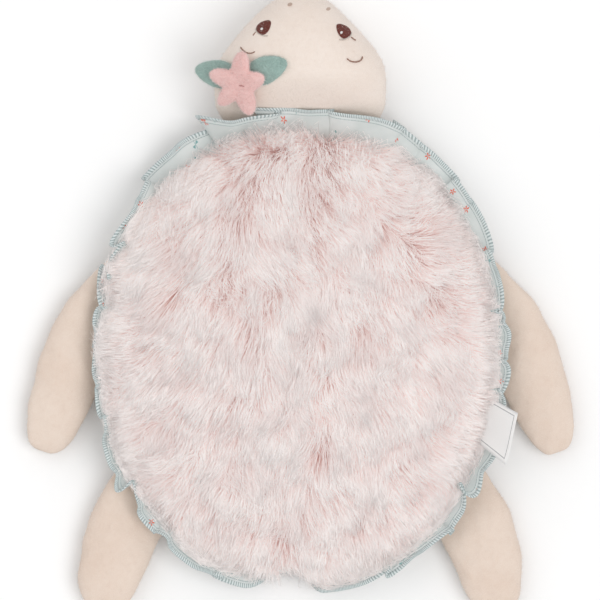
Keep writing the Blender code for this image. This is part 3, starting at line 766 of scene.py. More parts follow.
@dataclass(frozen=True)
class RibbonFinish:
    """White satin-woven ribbon, left bare but for a woven line along its edges."""

    colour: tuple = (0.985, 0.985, 0.98)
    shade: tuple = (0.91, 0.912, 0.915)
    line: tuple = (0.60, 0.61, 0.62)
    width: float = 25 * MM
    fold: float = 34.4 * MM  # from the seam to the fold, along the ribbon
    rib: float = 0.42 * MM  # from one rib to the next, across the ribbon
    warp: float = 0.30 * MM  # from one warp thread to the next

    def material(self) -> bpy.types.Material:
        """Ribs by a sine along the ribbon, and a band at each long edge by the map."""
        made = Shader("ribbon_white")
        _, along, across = made.map()
        ribs = (along * (TURN / self.rib)).sine() * 0.5 + 0.5
        warp = (across * (TURN / self.warp)).sine() * 0.5 + 0.5
        aside = (across / self.width - 0.5).size()
        edge = aside.between(0.455, 0.475)
        in_from_fold = (along - self.fold).size() / self.width
        near = aside.most(0.5 - in_from_fold)
        line = near.between(0.40, 0.405) * (1 - near.between(0.42, 0.425))
        grain = ribs * 0.6 + warp * 0.4
        # painted shade: the cloth darkens towards the shade colour in a band along each long edge, where
        # the selvedge is raised
        cloth = made.mix(grain * 0.3 + edge * 0.5, paint(*self.colour), paint(*self.shade))
        made.set(
            Base_Color=made.mix(line * (0.55 + 0.35 * ribs), cloth, paint(*self.line)),
            Roughness=0.5 + 0.25 * grain,
            Sheen_Weight=0.1,
        )
        made.bump(grain + edge * 0.6, 0.08 * MM)
        return made.material


# The toy's forms


@dataclass(frozen=True)
class BodySeam:
    """The seam round the body, a superellipse in plan."""

    half_width: float = 97 * MM
    half_length: float = 113 * MM
    power: float = 2.3
    height: float = 14 * MM

    def frame(self, turn: Array) -> tuple[Array, Array, Array, Array]:
        """The seam's point at that turn, and the outward direction there."""
        a, b = round_outline(self.power, self.power)(turn)
        nx = np.sign(a) * np.abs(a) ** (self.power - 1) / self.half_width
        ny = np.sign(b) * np.abs(b) ** (self.power - 1) / self.half_length
        size = np.hypot(nx, ny)
        return a * self.half_width, b * self.half_length, nx / size, ny / size

    def point(self, turn: Array, outward: float) -> Pair:
        """A point of the seam, moved outward in plan."""
        x, y, nx, ny = self.frame(turn)
        return x + nx * outward, y + ny * outward

    def ring(self, a: Array, b: Array, reach: float, height: float) -> Array:
        """The seam's outline (a, b) drawn in to a reach, at one height."""
        x, y = a * reach * self.half_width, b * reach * self.half_length
        return np.column_stack([x, y, np.full_like(a, height)])

    def outside(self, x: Array, y: Array) -> Array:
        """How far a plan point lies outside the seam: its level less 1, over the slope."""
        width = np.maximum(np.abs(x / self.half_width), 1e-9)
        length = np.maximum(np.abs(y / self.half_length), 1e-9)
        level = (width**self.power + length**self.power) ** (1 / self.power)
        slope = np.hypot(
            (width / level) ** (self.power - 1) / self.half_width,
            (length / level) ** (self.power - 1) / self.half_length,
        )
        return (level - 1) / slope

    def turn_of(self, x: Array, y: Array) -> Array:
        """The turn whose seam point lies nearest, to first order."""
        return np.arctan2(y / self.half_length, x / self.half_width)

    def limb_height(self) -> float:
        """Height of a limb's own seam at its sewn end."""
        return self.height - GAP / 2 - LIP


SEAM = BodySeam()


@dataclass
class SewnForm:
    """Two cloth panels round a filling, as one closed skin with a creased seam.

    Over a disc of (a, b) the upper side is seam plus rise times a superellipse crown, and the
    lower side is seam less drop times one. Where the disc's rim is, the skin dips inward by
    crease, as a stitched seam does.
    """

    plan: Callable[[Array, Array], Pair]
    outline: Callable[[Array], Pair]
    seam: Callable[[Array, Array], Array]
    rise: Callable[[Array, Array], Array]
    drop: Callable[[Array, Array], Array]
    up_power: float
    down_power: float
    lip: float = LIP + GAP / 2
    crease_share: float = 0.012
    floor: float | None = 0.0

    def ring(self, level: float, segments: int, up: bool, inset: float = 0.0) -> Array:
        """The ring at that level, 0 at the rim and 1 at the crown."""
        power = self.up_power if up else self.down_power
        reach, height = crown(level, power)
        a, b = self.outline(np.arange(segments) * TURN / segments)
        a, b = a * reach * (1 - inset), b * reach * (1 - inset)
        x, y = self.plan(a, b)
        if up:
            z = self.seam(a, b) + self.lip + self.rise(a, b) * height
        else:
            z = self.seam(a, b) - self.lip - self.drop(a, b) * height
            z = z if self.floor is None else np.maximum(z, self.floor)
        return np.column_stack([x, y, z])

    def skin(self, rings: int, segments: int) -> Surface:
        """The whole closed skin, from the upper crown over the seam to the lower one."""
        levels = 1 - (np.arange(rings) + 0.5) / rings
        levels = np.append(levels, 0.0)
        top = [self.ring(k, segments, True) for k in levels]
        under = [self.ring(k, segments, False) for k in levels[::-1]]
        upper, lower = (self.ring(0, segments, up, self.crease_share) for up in (True, False))
        middle = (upper + lower) / 2
        return skin_over(np.array([*top, middle, *under]))


@dataclass(frozen=True)
class HeadShape:
    """The head: a ball with a blunt snout that grows out of a thin neck."""

    half_width: float = 46.8 * MM
    length: float = 84 * MM
    neck_half_width: float = 35 * MM
    seam_height: float = 26 * MM
    rise: float = 31 * MM
    power: float = 2.0
    root_power: float = 5.0
    swell_share: float = 0.5
    spread_share: float = 0.3
    snout_start_share: float = 0.42
    snout_taper_share: float = 0.34
    pad_reach_shares: tuple[float, float, float] = (0.25, 0.85, 0.72)

    def start(self) -> float:
        """Where the neck begins, along Y."""
        return SEAM.half_length + ROOT_GAP

    def width(self, u: Array) -> Array:
        """Half the breadth, u along the head: out of the neck, then in towards the snout."""
        swell = smooth_step(0.5 + u / (2 * self.spread_share)) * 2 - 1
        past = (u - self.snout_start_share) / (1 - self.snout_start_share)
        taper = 1 - self.snout_taper_share * smooth_step(past)
        return (self.neck_half_width + (self.half_width - self.neck_half_width) * swell) * taper

    def swelling(self, a: Array) -> Array:
        """How far the head has swelled out of the neck."""
        return smooth_step((a + 1) / 2 / self.swell_share)

    def seam(self, a: Array) -> Array:
        """Height of the seam between the panels."""
        low = SEAM.limb_height()
        return low + (self.seam_height - low) * self.swelling(a)

    def form(self) -> SewnForm:
        """The head as a sewn form."""
        return SewnForm(
            plan=lambda a, b: (self.width((a + 1) / 2) * b, self.start() + self.length * (a + 1) / 2),
            outline=round_outline(self.root_power, self.power),
            seam=lambda a, b: self.seam(a),
            rise=lambda a, b: self.rise * self.swelling(a),
            drop=lambda a, b: (self.seam_height + FLOOR_CUT - self.lip()) * self.swelling(a),
            up_power=self.power,
            down_power=self.power,
        )

    def lip(self) -> float:
        """Half the thickness of both cloths at the seam."""
        return LIP + GAP / 2

    def top(self, x: Array, y: Array) -> Array:
        """Height of the cloth over a plan point, which goes on along its slope past the sides."""
        u = (y - self.start()) / self.length
        neck, snout, side = self.pad_reach_shares
        b = x / self.width(np.clip(u, neck, 1))
        a = 2 * u - 1

        def height(a: Array, b: Array) -> Array:
            """The crown over (a, b)."""
            shape = np.where(a < 0, self.root_power, self.power)
            level = (np.abs(a) ** shape + np.abs(b) ** shape) ** (1 / shape)
            round_off = np.maximum(1 - level**self.power, 0) ** (1 / self.power)
            return self.seam(a) + self.lip() + self.rise * self.swelling(a) * round_off

        near_a, near_b = np.clip(a, -neck, snout), np.clip(b, -side, side)
        step = 0.01
        slope_a = (height(near_a + step, near_b) - height(near_a - step, near_b)) / (2 * step)
        slope_b = (height(near_a, near_b + step) - height(near_a, near_b - step)) / (2 * step)
        return height(near_a, near_b) + slope_a * (a - near_a) + slope_b * (b - near_b)

    def place(self, shares: tuple[float, float]) -> tuple[float, float]:
        """Plan point of a place given as shares of the half width and of the length."""
        return shares[0] * self.half_width, self.start() + shares[1] * self.length


HEAD_SHAPE = HeadShape()


class Limb(Enum):
    """The four flippers: body, side, turn of the sewn end, its half span, half width, bend, tip."""

    FRONT_LEFT = ("front_left_flipper", -1, 22, 15, 19.4, (24.5, -18.5), (48.5, -98.5))
    FRONT_RIGHT = ("front_right_flipper", 1, 22, 15, 19.4, (24.5, -18.5), (48.5, -98.5))
    REAR_LEFT = ("rear_left_flipper", -1, -38, 12, 19.8, (20.5, -16.5), (28, -69.5))
    REAR_RIGHT = ("rear_right_flipper", 1, -38, 12, 19.8, (20.5, -16.5), (28, -69.5))


@dataclass
class Flipper:
    """One flipper, which bends out of the body seam."""

    limb: Limb
    rise: float = 8.4 * MM
    seam_height: float = 9 * MM
    tip_power: float = 3.2
    root_power: float = 5.0
    power: float = 2.1
    swell: float = 34 * MM
    taper_share: float = 0.1
    bend_reach: float = 26 * MM  # from the seam to where it swings with its whole turn
    fibres: int = 11000

    def form(self) -> SewnForm:
        """The flipper as a sewn form: a tongue along a quadratic curve."""
        _, side, turn, span, width, bend, tip = self.limb.value
        turn, span = math.radians(turn), math.radians(span)
        width = width * MM
        bend, tip = np.array(bend) * MM, np.array(tip) * MM
        root_x, root_y = (float(v) for v in SEAM.point(np.array(turn), ROOT_GAP))
        start = SEAM.limb_height()

        def plan(a: Array, b: Array) -> Pair:
            """The seam's curve at the sewn end, let go into the tongue."""
            u = (a + 1) / 2
            middle_x = root_x + 2 * u * (1 - u) * bend[0] + u * u * tip[0]
            middle_y = root_y + 2 * u * (1 - u) * bend[1] + u * u * tip[1]
            way_x = (1 - 2 * u) * bend[0] + u * tip[0]
            way_y = (1 - 2 * u) * bend[1] + u * tip[1]
            size = np.hypot(way_x, way_y)
            half = width * (1 - self.taper_share * smooth_step(2 * u - 1))
            free_x = middle_x - way_y / size * half * b
            free_y = middle_y + way_x / size * half * b
            sewn_x, sewn_y = SEAM.point(turn + span * b, ROOT_GAP)
            sewn_x, sewn_y = sewn_x + (middle_x - root_x), sewn_y + (middle_y - root_y)
            freed = smooth_step(2 * u)
            return side * (sewn_x + (free_x - sewn_x) * freed), sewn_y + (free_y - sewn_y) * freed

        def swelling(a: Array, b: Array) -> Array:
            """How far the flipper has come to its full thickness."""
            return smooth_step(SEAM.outside(*plan(a, b)) / self.swell)

        return SewnForm(
            plan=plan,
            outline=round_outline(self.root_power, self.tip_power),
            seam=lambda a, b: start + (self.seam_height - start) * smooth_step(a + 1),
            rise=lambda a, b: self.rise * swelling(a, b),
            drop=lambda a, b: (self.seam_height + FLOOR_CUT - LIP - GAP / 2) * swelling(a, b),
            up_power=self.power,
            down_power=self.power,
        )

    def line(self) -> Pair:
        """The start and the end of the bend, out of the body at the sewn end."""
        _, side, turn = self.limb.value[:3]
        x, y, nx, ny = (float(v) for v in SEAM.frame(np.array(math.radians(turn))))
        out = np.array([side * nx, ny, 0.0])
        root = np.array([side * x, y, SEAM.limb_height()]) + out * ROOT_GAP
        return root + out * 2 * MM, root + out * self.bend_reach

    def build(self, velour: bpy.types.Material, fuzz: bpy.types.Material) -> None:
        """Makes the cover and its loose fibres."""
        body = self.limb.value[0]
        seed = list(Limb).index(self.limb)
        surface = self.form().skin(34, 150)
        normals = surface.normals()
        x, y, z = surface.points.T
        away = smooth_step((SEAM.outside(x, y) - 4 * MM) / (20 * MM))
        dents = ripples(x, y, 26 * MM, 40 + seed) * 0.5 * MM
        dents = dents + ripples(x, y, 9 * MM, 50 + seed) * 0.16 * MM
        flat = smooth_step((z - 0.4 * MM) / (4 * MM))
        surface.points += normals * ((dents - 0.15 * MM) * away * flat)[:, None]
        surface.points[:, 2] = np.maximum(surface.points[:, 2], 0)
        normals = surface.normals()
        cover = surface.made(f"{body}_cover", velour)
        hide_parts(f"{body}_upper_panel", f"{body}_lower_panel", f"{body}_filling")
        draw = np.random.default_rng(70 + seed)
        roots, ups = surface.scattered(self.fibres, draw, normals)
        start, end = self.line()
        hairs = pile_fibres(roots, ups, *LOOSE_PILE, draw, keep_clear=True)
        loose = hairs.made(f"{body}_loose_pile", fuzz)
        for piece in (cover, loose):
            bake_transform(piece)


def pile_fibres(
    roots: Array, ups: Array, length: float, radius: float, draw: np.random.Generator, keep_clear: bool
) -> Surface:
    """Short straight fibres that lean at random off a cloth.

    Args:
        roots, ups: where they grow, and the cloth's outward direction there.
        length, radius: of one fibre, before it varies.
        draw: the random draw.
        keep_clear: leaves out what would grow into the floor or into the body seam.

    Returns:
        The fibres as closed spikes.
    """
    if keep_clear:
        stay = (roots[:, 2] > 1.2 * MM) & (SEAM.outside(roots[:, 0], roots[:, 1]) > 3 * MM)
        roots, ups = roots[stay], ups[stay]
    count = len(roots)
    lean = unit(ups + draw.normal(0, 0.45, (count, 3)))
    reach = length * draw.uniform(0.55, 1.25, (count, 1))
    paths = np.stack([roots - ups * 0.2 * MM, roots + lean * reach], 1)
    paths[..., 2] = np.maximum(paths[..., 2], 0.05 * MM)
    side = draw.normal(size=(count, 3))
    return spikes(paths, side, np.full((count, 1), radius), draw.random(count))


@dataclass(frozen=True)
class ThreadLine:
    """A line of thread that runs round the ruffle at one distance from the seam."""

    name: str
    reach: float  # from the seam, along the cloth
    half: tuple[float, float]  # half its width and half its height
    pitch: float  # from one loop to the next
    corners: int  # points round it
    lift: float  # above the cloth's middle
    relief: float  # how deep the hollows between loops are, as a share
    samples: int = 4  # stations for each loop


@dataclass
class Ruffle:
    """The gathered cotton strip round the body, with its overlocked rim.

    Outside the seam the cloth tilts up, most behind the head, and droops under the fur at the
    tail. Its folds are sines of the turn that grow towards the rim, leaned over sideways so
    that they lap as gathered cloth does.
    """

    width: float = 17 * MM
    edge_width: float = 2.8 * MM
    edge_thickness: float = 1.3 * MM
    fold_height: float = 3.2 * MM
    folds: int = 24
    tilt: float = math.radians(29)
    collar_tilt: float = math.radians(45)
    collar_spread: float = math.radians(30)
    collar_width_share: float = 1.5
    shoulder_turn: float = math.radians(143)
    shoulder_tilt: float = math.radians(52)
    shoulder_spread: float = math.radians(9)
    tuck_turn: float = math.radians(-94)
    tuck_tilt: float = math.radians(-25)
    tuck_spread: float = math.radians(9)
    tuck_width_share: float = 0.62
    flat_stretches: tuple = ((128, 6, 16), (54, 8, 16), (-94, 4, 24))  # turn, tilt and spread, degrees
    held_share: float = 0.4
    calm_share: float = 0.35
    drift_turns: float = 0.09
    inner: float = 1.9 * MM
    stations: int = 1440
    lean: float = 2.6 * MM  # how far a fold's crest laps over sideways at the rim
    # Each pleat: turn in degrees, half width in mm, how far it doubles back, degrees that it
    # stands up, and how far it laps outward in mm.
    pleats: tuple = (
        (-145, 5.0, 2.6, 20, -10), (-133, 5.0, 1.8, 8, 0), (-47, 7.0, -2.4, -10, 0),
        (-36, 5.0, 3.0, 40, 8), (115.5, 6.5, -3.0, -24, -9), (100, 7.5, 3.4, -6, -5),
        (63, 5.5, -2.6, -12, -2.5), (56, 3.6, 2.2, 10, 0), (151, 4.5, 3.0, 12, -6),
        (160, 4.5, -2.6, 8, 4), (134, 3.6, 2.0, 4, 0), (168, 4.0, -2.2, 24, 0),
        (179, 4.0, 2.2, 0, 0), (38, 6.0, 1.4, -6, 0), (27, 4.0, -2.4, 12, 0),
        (12, 4.0, 2.2, 24, 0), (-9, 4.0, -2.0, 18, 0), (-112, 4.5, 2.4, 14, 0),
        (-122, 8.0, 0.0, -4, 0), (-66, 5.0, -2.4, 12, 4), (-164, 4.2, 2.4, 20, 0),
        (81, 5.0, -1.6, -6, 0), (46, 3.6, -2.0, 6, 0),
    )
    pleat_height: float = 1.5 * MM
    stitch: float = 0.8 * MM  # from one overlock loop to the next

    def shares(self, turn: Array) -> Pair:
        """How much of the collar and of the tuck there is at that turn."""
        collar = self.settling(turn, math.pi / 2, self.collar_spread)
        return collar, self.settling(turn, self.tuck_turn, self.tuck_spread)

    def settling(self, turn: Array, middle: float, spread: float) -> Array:
        """1 round the middle, and an S down to 0 beyond the spread."""
        return 1 - smooth_step(turn_between(turn, middle) / spread - self.held_share)

    def tilts(self, turn: Array) -> Array:
        """The cloth's tilt at that turn."""
        collar, tuck = self.shares(turn)
        shoulder = self.settling(turn, self.shoulder_turn, self.shoulder_spread)
        swings = [(self.collar_tilt, collar), (self.shoulder_tilt, shoulder), (self.tuck_tilt, tuck)]
        for middle, tilt, spread in np.radians(self.flat_stretches):
            swings.append((tilt, self.settling(turn, middle, spread)))
        return self.tilt + sum((tilt - self.tilt) * share for tilt, share in swings)

    def middle(self, turn: Array, reach: Array | float) -> Array:
        """Points of the cloth's middle, reach from the seam along it.

        Args:
            turn: turns round the seam.
            reach: distances from the seam, which broadcast with them.

        Returns:
            XYZ along one more axis.
        """
        turn, reach = np.broadcast_arrays(turn, reach)
        x, y, nx, ny = SEAM.frame(turn)
        collar, tuck = self.shares(turn)
        out = np.maximum(reach, 0)
        tilt = self.tilts(turn) * smooth_step(out / (2.5 * MM) + 0.35 * (out > 0))
        widening = (self.collar_width_share - 1) * collar + (self.tuck_width_share - 1) * tuck
        shown = reach + np.minimum(out, self.width) * widening
        drift = self.drift_turns * TURN * (np.sin(2 * turn) + np.sin(3 * turn + 1))
        phase = self.folds * turn + self.folds / 4 * drift
        share = out / self.width
        calm = 1 - (1 - self.calm_share) * (collar + tuck)
        uneven = 0.68 + 0.32 * np.sin(4 * turn + 0.6) * np.cos(7 * turn)
        wave = self.fold_height * calm * uneven * np.sin(phase + 0.55 * np.sin(phase)) * share
        wave = wave + 0.55 * MM * calm * np.sin(2.0 * phase + 5 * np.sin(2 * turn)) * share**1.5
        puckers = 0.28 * MM * np.sin(self.folds * 6 * turn + 3 * np.sin(5 * turn))
        wave = wave + puckers * np.exp(-((share - 0.18) ** 2) / 0.03) * (out > 0)
        sideways = self.lean * calm * np.cos(phase) * share**1.3
        lapped = 0.0
        for degrees, half, times, stand, lap in self.pleats:
            off = np.angle(np.exp(1j * (turn - math.radians(degrees)))) * np.hypot(x, y) / (half * MM)
            bell = np.exp(-(off**2))
            tilt = tilt + math.radians(stand) * bell * smooth_step(share * 1.5)
            sideways = sideways - abs(times) * off * half * MM * bell * share**1.4
            wave = wave + self.pleat_height * np.sign(times) * off * np.exp(-((off / 1.7) ** 2)) * share
            lapped = lapped + lap * MM * off * bell * share**2
        level = shown * np.cos(tilt) - wave * np.sin(tilt) + lapped
        height = shown * np.sin(tilt) + wave * np.cos(tilt)
        base = SEAM.height + GAP + COTTON / 2
        return np.stack([x + nx * level - ny * sideways, y + ny * level + nx * sideways, base + height], -1)

    def crest(self, x: Array, y: Array) -> Array:
        """Height over a plan point that clears the cloth there and a little to both sides."""
        turn = SEAM.turn_of(x, y)
        reach = np.maximum(SEAM.outside(x, y), 0) / np.cos(self.tilts(turn))
        step = 2.5 * MM / SEAM.half_length
        heights = [self.middle(turn + k * step, np.minimum(reach, self.width))[..., 2] for k in (-1, 0, 1)]
        return np.max(heights, axis=0) + COTTON / 2 + 2 * GAP

    def build(self, cotton: bpy.types.Material, edge: bpy.types.Material, dark: bpy.types.Material) -> None:
        """Makes the strip, the overlocked rim and the needle thread inside it."""
        turn = np.arange(self.stations) * TURN / self.stations
        reach = np.concatenate([[-self.inner, -0.8 * MM, 0.0], np.linspace(1.0 * MM, self.width, 15)])
        points = self.middle(turn[:, None], reach[None])
        along = np.roll(points, -1, 0) - np.roll(points, 1, 0)
        across = np.gradient(points, axis=1)
        normal = unit(np.cross(across, along))
        rim = points[:, -1]
        length = np.linalg.norm(np.roll(rim, -1, 0) - rim, axis=1)
        run = np.concatenate([[0], np.cumsum(length)])
        flat = np.stack(np.broadcast_arrays(run[:, None], (reach + self.inner)[None]), -1)
        surface = cloth_shell(
            points + normal * COTTON / 2, points - normal * COTTON / 2, flat, round_rows=True
        )
        strip = surface.made("ruffle_strip", cotton)
        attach(strip, BODY)
        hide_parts("ruffle")
        quads = points[:-1, :-1], points[1:, :-1], points[1:, 1:], points[:-1, 1:]
        crosses = np.cross(quads[2] - quads[0], quads[3] - quads[1])
        area = float(np.linalg.norm(crosses, axis=-1).sum() / 2)
        cut_width = self.width + self.inner
        overlock = ThreadLine(
            "ruffle_overlock_edge_thread", reach=self.width + 1.1 * MM, half=(1.4 * MM, 0.65 * MM),
            pitch=self.stitch, corners=8, lift=0.0, relief=0.3,
        )
        band = self.edge_band(overlock, edge)
        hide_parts("ruffle_overlock_edge")
        inside = ThreadLine(
            "ruffle_needle_thread", reach=self.width - 1.1 * MM, half=(0.24 * MM, 0.22 * MM),
            pitch=2.0 * MM, corners=6, lift=0.45 * MM, relief=0.6,
        )
        needle = self.edge_band(inside, dark)
        area / cut_width
        log.info("ruffle: strip %.0f by %.1f mm", area / cut_width / MM, cut_width / MM)

    def edge_band(self, line: ThreadLine, look: bpy.types.Material) -> bpy.types.Object:
        """Makes a line of thread along the ruffle.

        Args:
            line: its sizes.
            look: its finish.

        Returns:
            The piece, riding on the body.
        """
        rough = self.middle(np.linspace(0, TURN, 3000, endpoint=False), line.reach)
        total = float(np.linalg.norm(np.roll(rough, -1, 0) - rough, axis=1).sum())
        count = int(round(total / line.pitch)) * line.samples
        turn = np.arange(count) * TURN / count
        points = self.middle(turn[:, None], line.reach + np.array([-0.6, 0, 0.6]) * MM)
        out = unit(points[:, 2] - points[:, 0])
        way = unit(np.roll(points[:, 1], -1, 0) - np.roll(points[:, 1], 1, 0))
        up = unit(np.cross(out, way))
        beat = np.cos(np.arange(count) * TURN / line.samples)
        width = line.half[0] * (1 + 0.10 * beat)
        height = line.half[1] * (1 - line.relief * (0.5 - 0.5 * beat))
        sizes = np.stack([width, height], 1)
        run = np.arange(count + 1) * total / count
        band = rope_round(points[:, 1] + up * line.lift, out, up, sizes, line.corners, run, True)
        made = band.made(line.name, look)
        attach(made, BODY)
        return made


@dataclass
class Fur:
    """The long pile on the crown of the shell.

    Every hair starts on the ground cloth and walks along its lie over a superellipsoid that
    swells, from the cloth's own form at the root to the fur's outer form at the tip. Where the
    lie is weak the hair travels less and stands up more. Hairs are drawn together towards the
    hairs of two sizes of lock.
    """

    hairs: int = 79500
    pieces: int = 8
    length: float = 26 * MM
    power: float = 2.3
    tip_power: float = 2.0
    edge: float = 15.9 * MM
    rise: float = 38 * MM
    spread: tuple[float, float, float] = (15.0 * MM, 15.0 * MM, 8.0 * MM)
    radius: float = 0.176 * MM
    steps: int = 3
    part_steps: int = 4
    big_locks: int = 360
    small_locks: int = 6000
    notch: tuple[float, float] = (-10 * MM, 5 * MM)  # where the tail's lobes part, its half width
    parting: float = -29.5 * MM  # where the hair over the head end parts, along X
    partings: tuple = (  # short partings: place in mm, turn in degrees, half length in mm
        (-62, 40, 35, 9), (-18, 36, 70, 10), (-26, 20, 95, 12),
        (6, 62, 80, 9), (40, 70, 65, 10), (62, 30, 20, 9), (30, 18, 75, 11), (70, -34, 80, 12),
        (54, -52, 50, 11), (16, -70, 30, 9), (2, -80, 120, 8), (30, -84, 60, 8), (-32, -58, 75, 12),
        (-60, -20, 130, 10), (-70, 4, 150, 9), (-48, -74, 110, 9), (-8, -22, 85, 10), (12, -44, 100, 9),
        (-8, -96, 90, 20),
    )
    parting_slope: float = 0.16  # how far that parting leans, along X for each step along Y
    parting_width: float = 7.5 * MM
    swells: float = 2.8 * MM  # how far the broad tufts stand above the hollows between them
    droop: float = 4 * MM  # how far the hair beyond the seam sinks onto the ruffle
    strays: tuple[float, float, float] = (0.24, 0.13, 0.14)  # large locks, small locks, hairs
    seed: int = 11

    def ground(self) -> Surface:
        """The ground cloth: the superellipsoid over the seam, closed beneath."""
        turn = np.arange(200) * TURN / 200
        a, b = round_outline(self.power, self.power)(turn)
        levels = 1 - (np.arange(40) + 0.5) / 40
        crowns = [crown(level, self.power) for level in [*levels, 0.0]]
        rows = [(reach, self.edge + self.rise * height) for reach, height in crowns]
        rows += [(share, self.edge - LIP) for share in (1.0, 0.97, 0.5)]
        return skin_over(np.array([SEAM.ring(a, b, *row) for row in rows]))

    def lie(self, x: Array, y: Array) -> Pair:
        """The way and the strength that the pile is brushed with, as a plan vector.

        It runs down the shell from the head to the tail, to both sides of a long parting on
        the left, and outward at the sides and the tail. Broad swirls and short partings
        unsettle it.

        Args:
            x, y: plan points.

        Returns:
            The two parts of the vector, whose length is 1 at most.
        """
        wide, long_ = x / SEAM.half_width, y / SEAM.half_length
        away = np.maximum(np.hypot(wide, long_), 0.05)
        upper = smooth_step(long_ / 0.5)
        side = 0.8 * smooth_step(np.abs(wide) / 0.9) * np.sign(wide)
        line = self.parting + self.parting_slope * (y - SEAM.half_length)
        left = smooth_step(0.5 + (line - x) / (9 * MM))
        right = np.exp(-(((wide - 0.72) / 0.26) ** 2))
        dx = side * (1 - upper) + upper * (0.32 - 0.8 * left - 0.4 * right)
        dy = -0.9 + 0.12 * upper
        rim = smooth_step((away - 0.7) / 0.24)
        behind = smooth_step((long_ / away - 0.15) / 0.6) * (1 - 0.85 * smooth_step((wide - 0.3) / 0.3))
        dx = dx + rim * (1.1 * wide / away - dx)
        dy = dy + rim * (1 - behind) * (1.1 * long_ / away - dy)
        dy = dy + smooth_step((away - 0.6) / 0.36) * behind * (-0.62 - dy)
        dx = dx + 0.26 * ripples(x, y, 40 * MM, 5)
        dy = dy + 0.2 * ripples(x, y, 36 * MM, 6)
        for place_x, place_y, degrees, half in self.partings:
            way_x, way_y = math.cos(math.radians(degrees)), math.sin(math.radians(degrees))
            off_x, off_y = x - place_x * MM, y - place_y * MM
            along = (off_x * way_x + off_y * way_y) / (half * MM)
            aside = (off_y * way_x - off_x * way_y) / self.parting_width
            push = 0.6 * np.tanh(aside * 3) * np.exp(-(aside**2) - along**4)
            dx, dy = dx - way_y * push, dy + way_x * push
        size = np.hypot(dx, dy)
        held = np.clip(size, 0, 1) / np.maximum(size, 1e-6)
        return dx * held, dy * held

    def walk(self, roots: Array, heading: Array, length: Array, swell: Array, curl: Array) -> Array:
        """Paths of hairs.

        Args:
            roots: where they start, on the ground cloth.
            heading: plan vectors of the lie.
            length: of each hair.
            swell: how much of the fur's spread each tip has.
            curl: the turn that each takes sideways on its way.

        Returns:
            Hairs by points by XYZ.
        """
        half = np.array([SEAM.half_width, SEAM.half_length, self.rise])
        strength = np.linalg.norm(heading, axis=1)
        at = roots.copy()
        way = np.column_stack([heading, np.zeros(len(roots))])
        tufts = ripples(roots[:, 0], roots[:, 1], 27 * MM, 8)
        lift = swell[:, None] * np.array(self.spread)
        sideways = 3 * MM + 2.5 * MM * ripples(roots[:, 0], roots[:, 1], 34 * MM, 14)
        lift[:, 0] += sideways * (roots[:, 0] < 0)
        lift[:, 2] += (1 - strength) * 5 * MM + tufts * self.swells
        gap = np.exp(-(((roots[:, 0] - self.notch[0]) / self.notch[1]) ** 2)) * (roots[:, 1] < -60 * MM)
        ends = smooth_step((np.abs(roots[:, 1] + 5 * MM) - 60 * MM) / (40 * MM))
        lift[:, 1] *= 1 - 0.6 * gap + 0.3 * ends
        path = [at.copy()]
        fine = self.steps * self.part_steps
        for step in range(1, fine + 1):
            share = step / fine
            sizes = half + lift * smooth_step(np.array(share * 1.1 + 0.04))
            power = self.power + (self.tip_power - self.power) * share
            normal, _ = self.nearest(at, sizes, power)
            way = unit(way - (way * normal).sum(1, keepdims=True) * normal)
            way = way + np.cross(normal, way) * (curl / fine)[:, None]
            at = at + way * (length * strength / fine)[:, None]
            for _ in range(2):
                normal, off = self.nearest(at, sizes, power)
                at = at - normal * off[:, None]
            if step % self.part_steps == 0:
                path.append(at.copy())
        return np.stack(path, 1)

    def nearest(self, at: Array, sizes: Array, power: float) -> Pair:
        """Outward direction and distance of points from a superellipsoid of those half sizes."""
        centred = at - np.array([0, 0, self.edge])
        shares = np.abs(centred) / sizes
        shares[:, 2] = np.where(centred[:, 2] > 0, shares[:, 2], 0)
        shares = np.maximum(shares, 1e-9)
        level = (shares**power).sum(1) ** (1 / power)
        gradient = (shares / level[:, None]) ** (power - 1) / sizes * np.sign(centred)
        size = np.linalg.norm(gradient, axis=1)
        return gradient / size[:, None], (level - 1) / size

    def heading(self, roots: Array, draw: np.random.Generator, stray: float) -> Array:
        """The lie at the roots with a small random vector added, which tells most where it is weak."""
        return np.stack(self.lie(roots[:, 0], roots[:, 1]), 1) + draw.normal(0, stray, (len(roots), 2))

    def guides(
        self, ground: Surface, normals: Array, count: int, draw: np.random.Generator, stray: float
    ) -> Pair:
        """Roots and paths of the hairs that lead locks."""
        roots, _ = ground.scattered(count, draw, normals, self.edge - GAP)
        length = self.length * draw.uniform(0.75, 1.12, count)
        swell, curl = draw.uniform(0.4, 1.15, count), draw.normal(0, 0.42, count)
        return roots, self.walk(roots, self.heading(roots, draw, stray), length, swell, curl)

    @staticmethod
    def closest(points: Array, centres: Array) -> Array:
        """For each point the number of the nearest centre, in turns that fit in memory."""
        found = [
            np.argmin(((part[:, None] - centres[None]) ** 2).sum(-1), axis=1)
            for part in np.array_split(points, max(1, len(points) * len(centres) // 4_000_000))
        ]
        return np.concatenate(found)

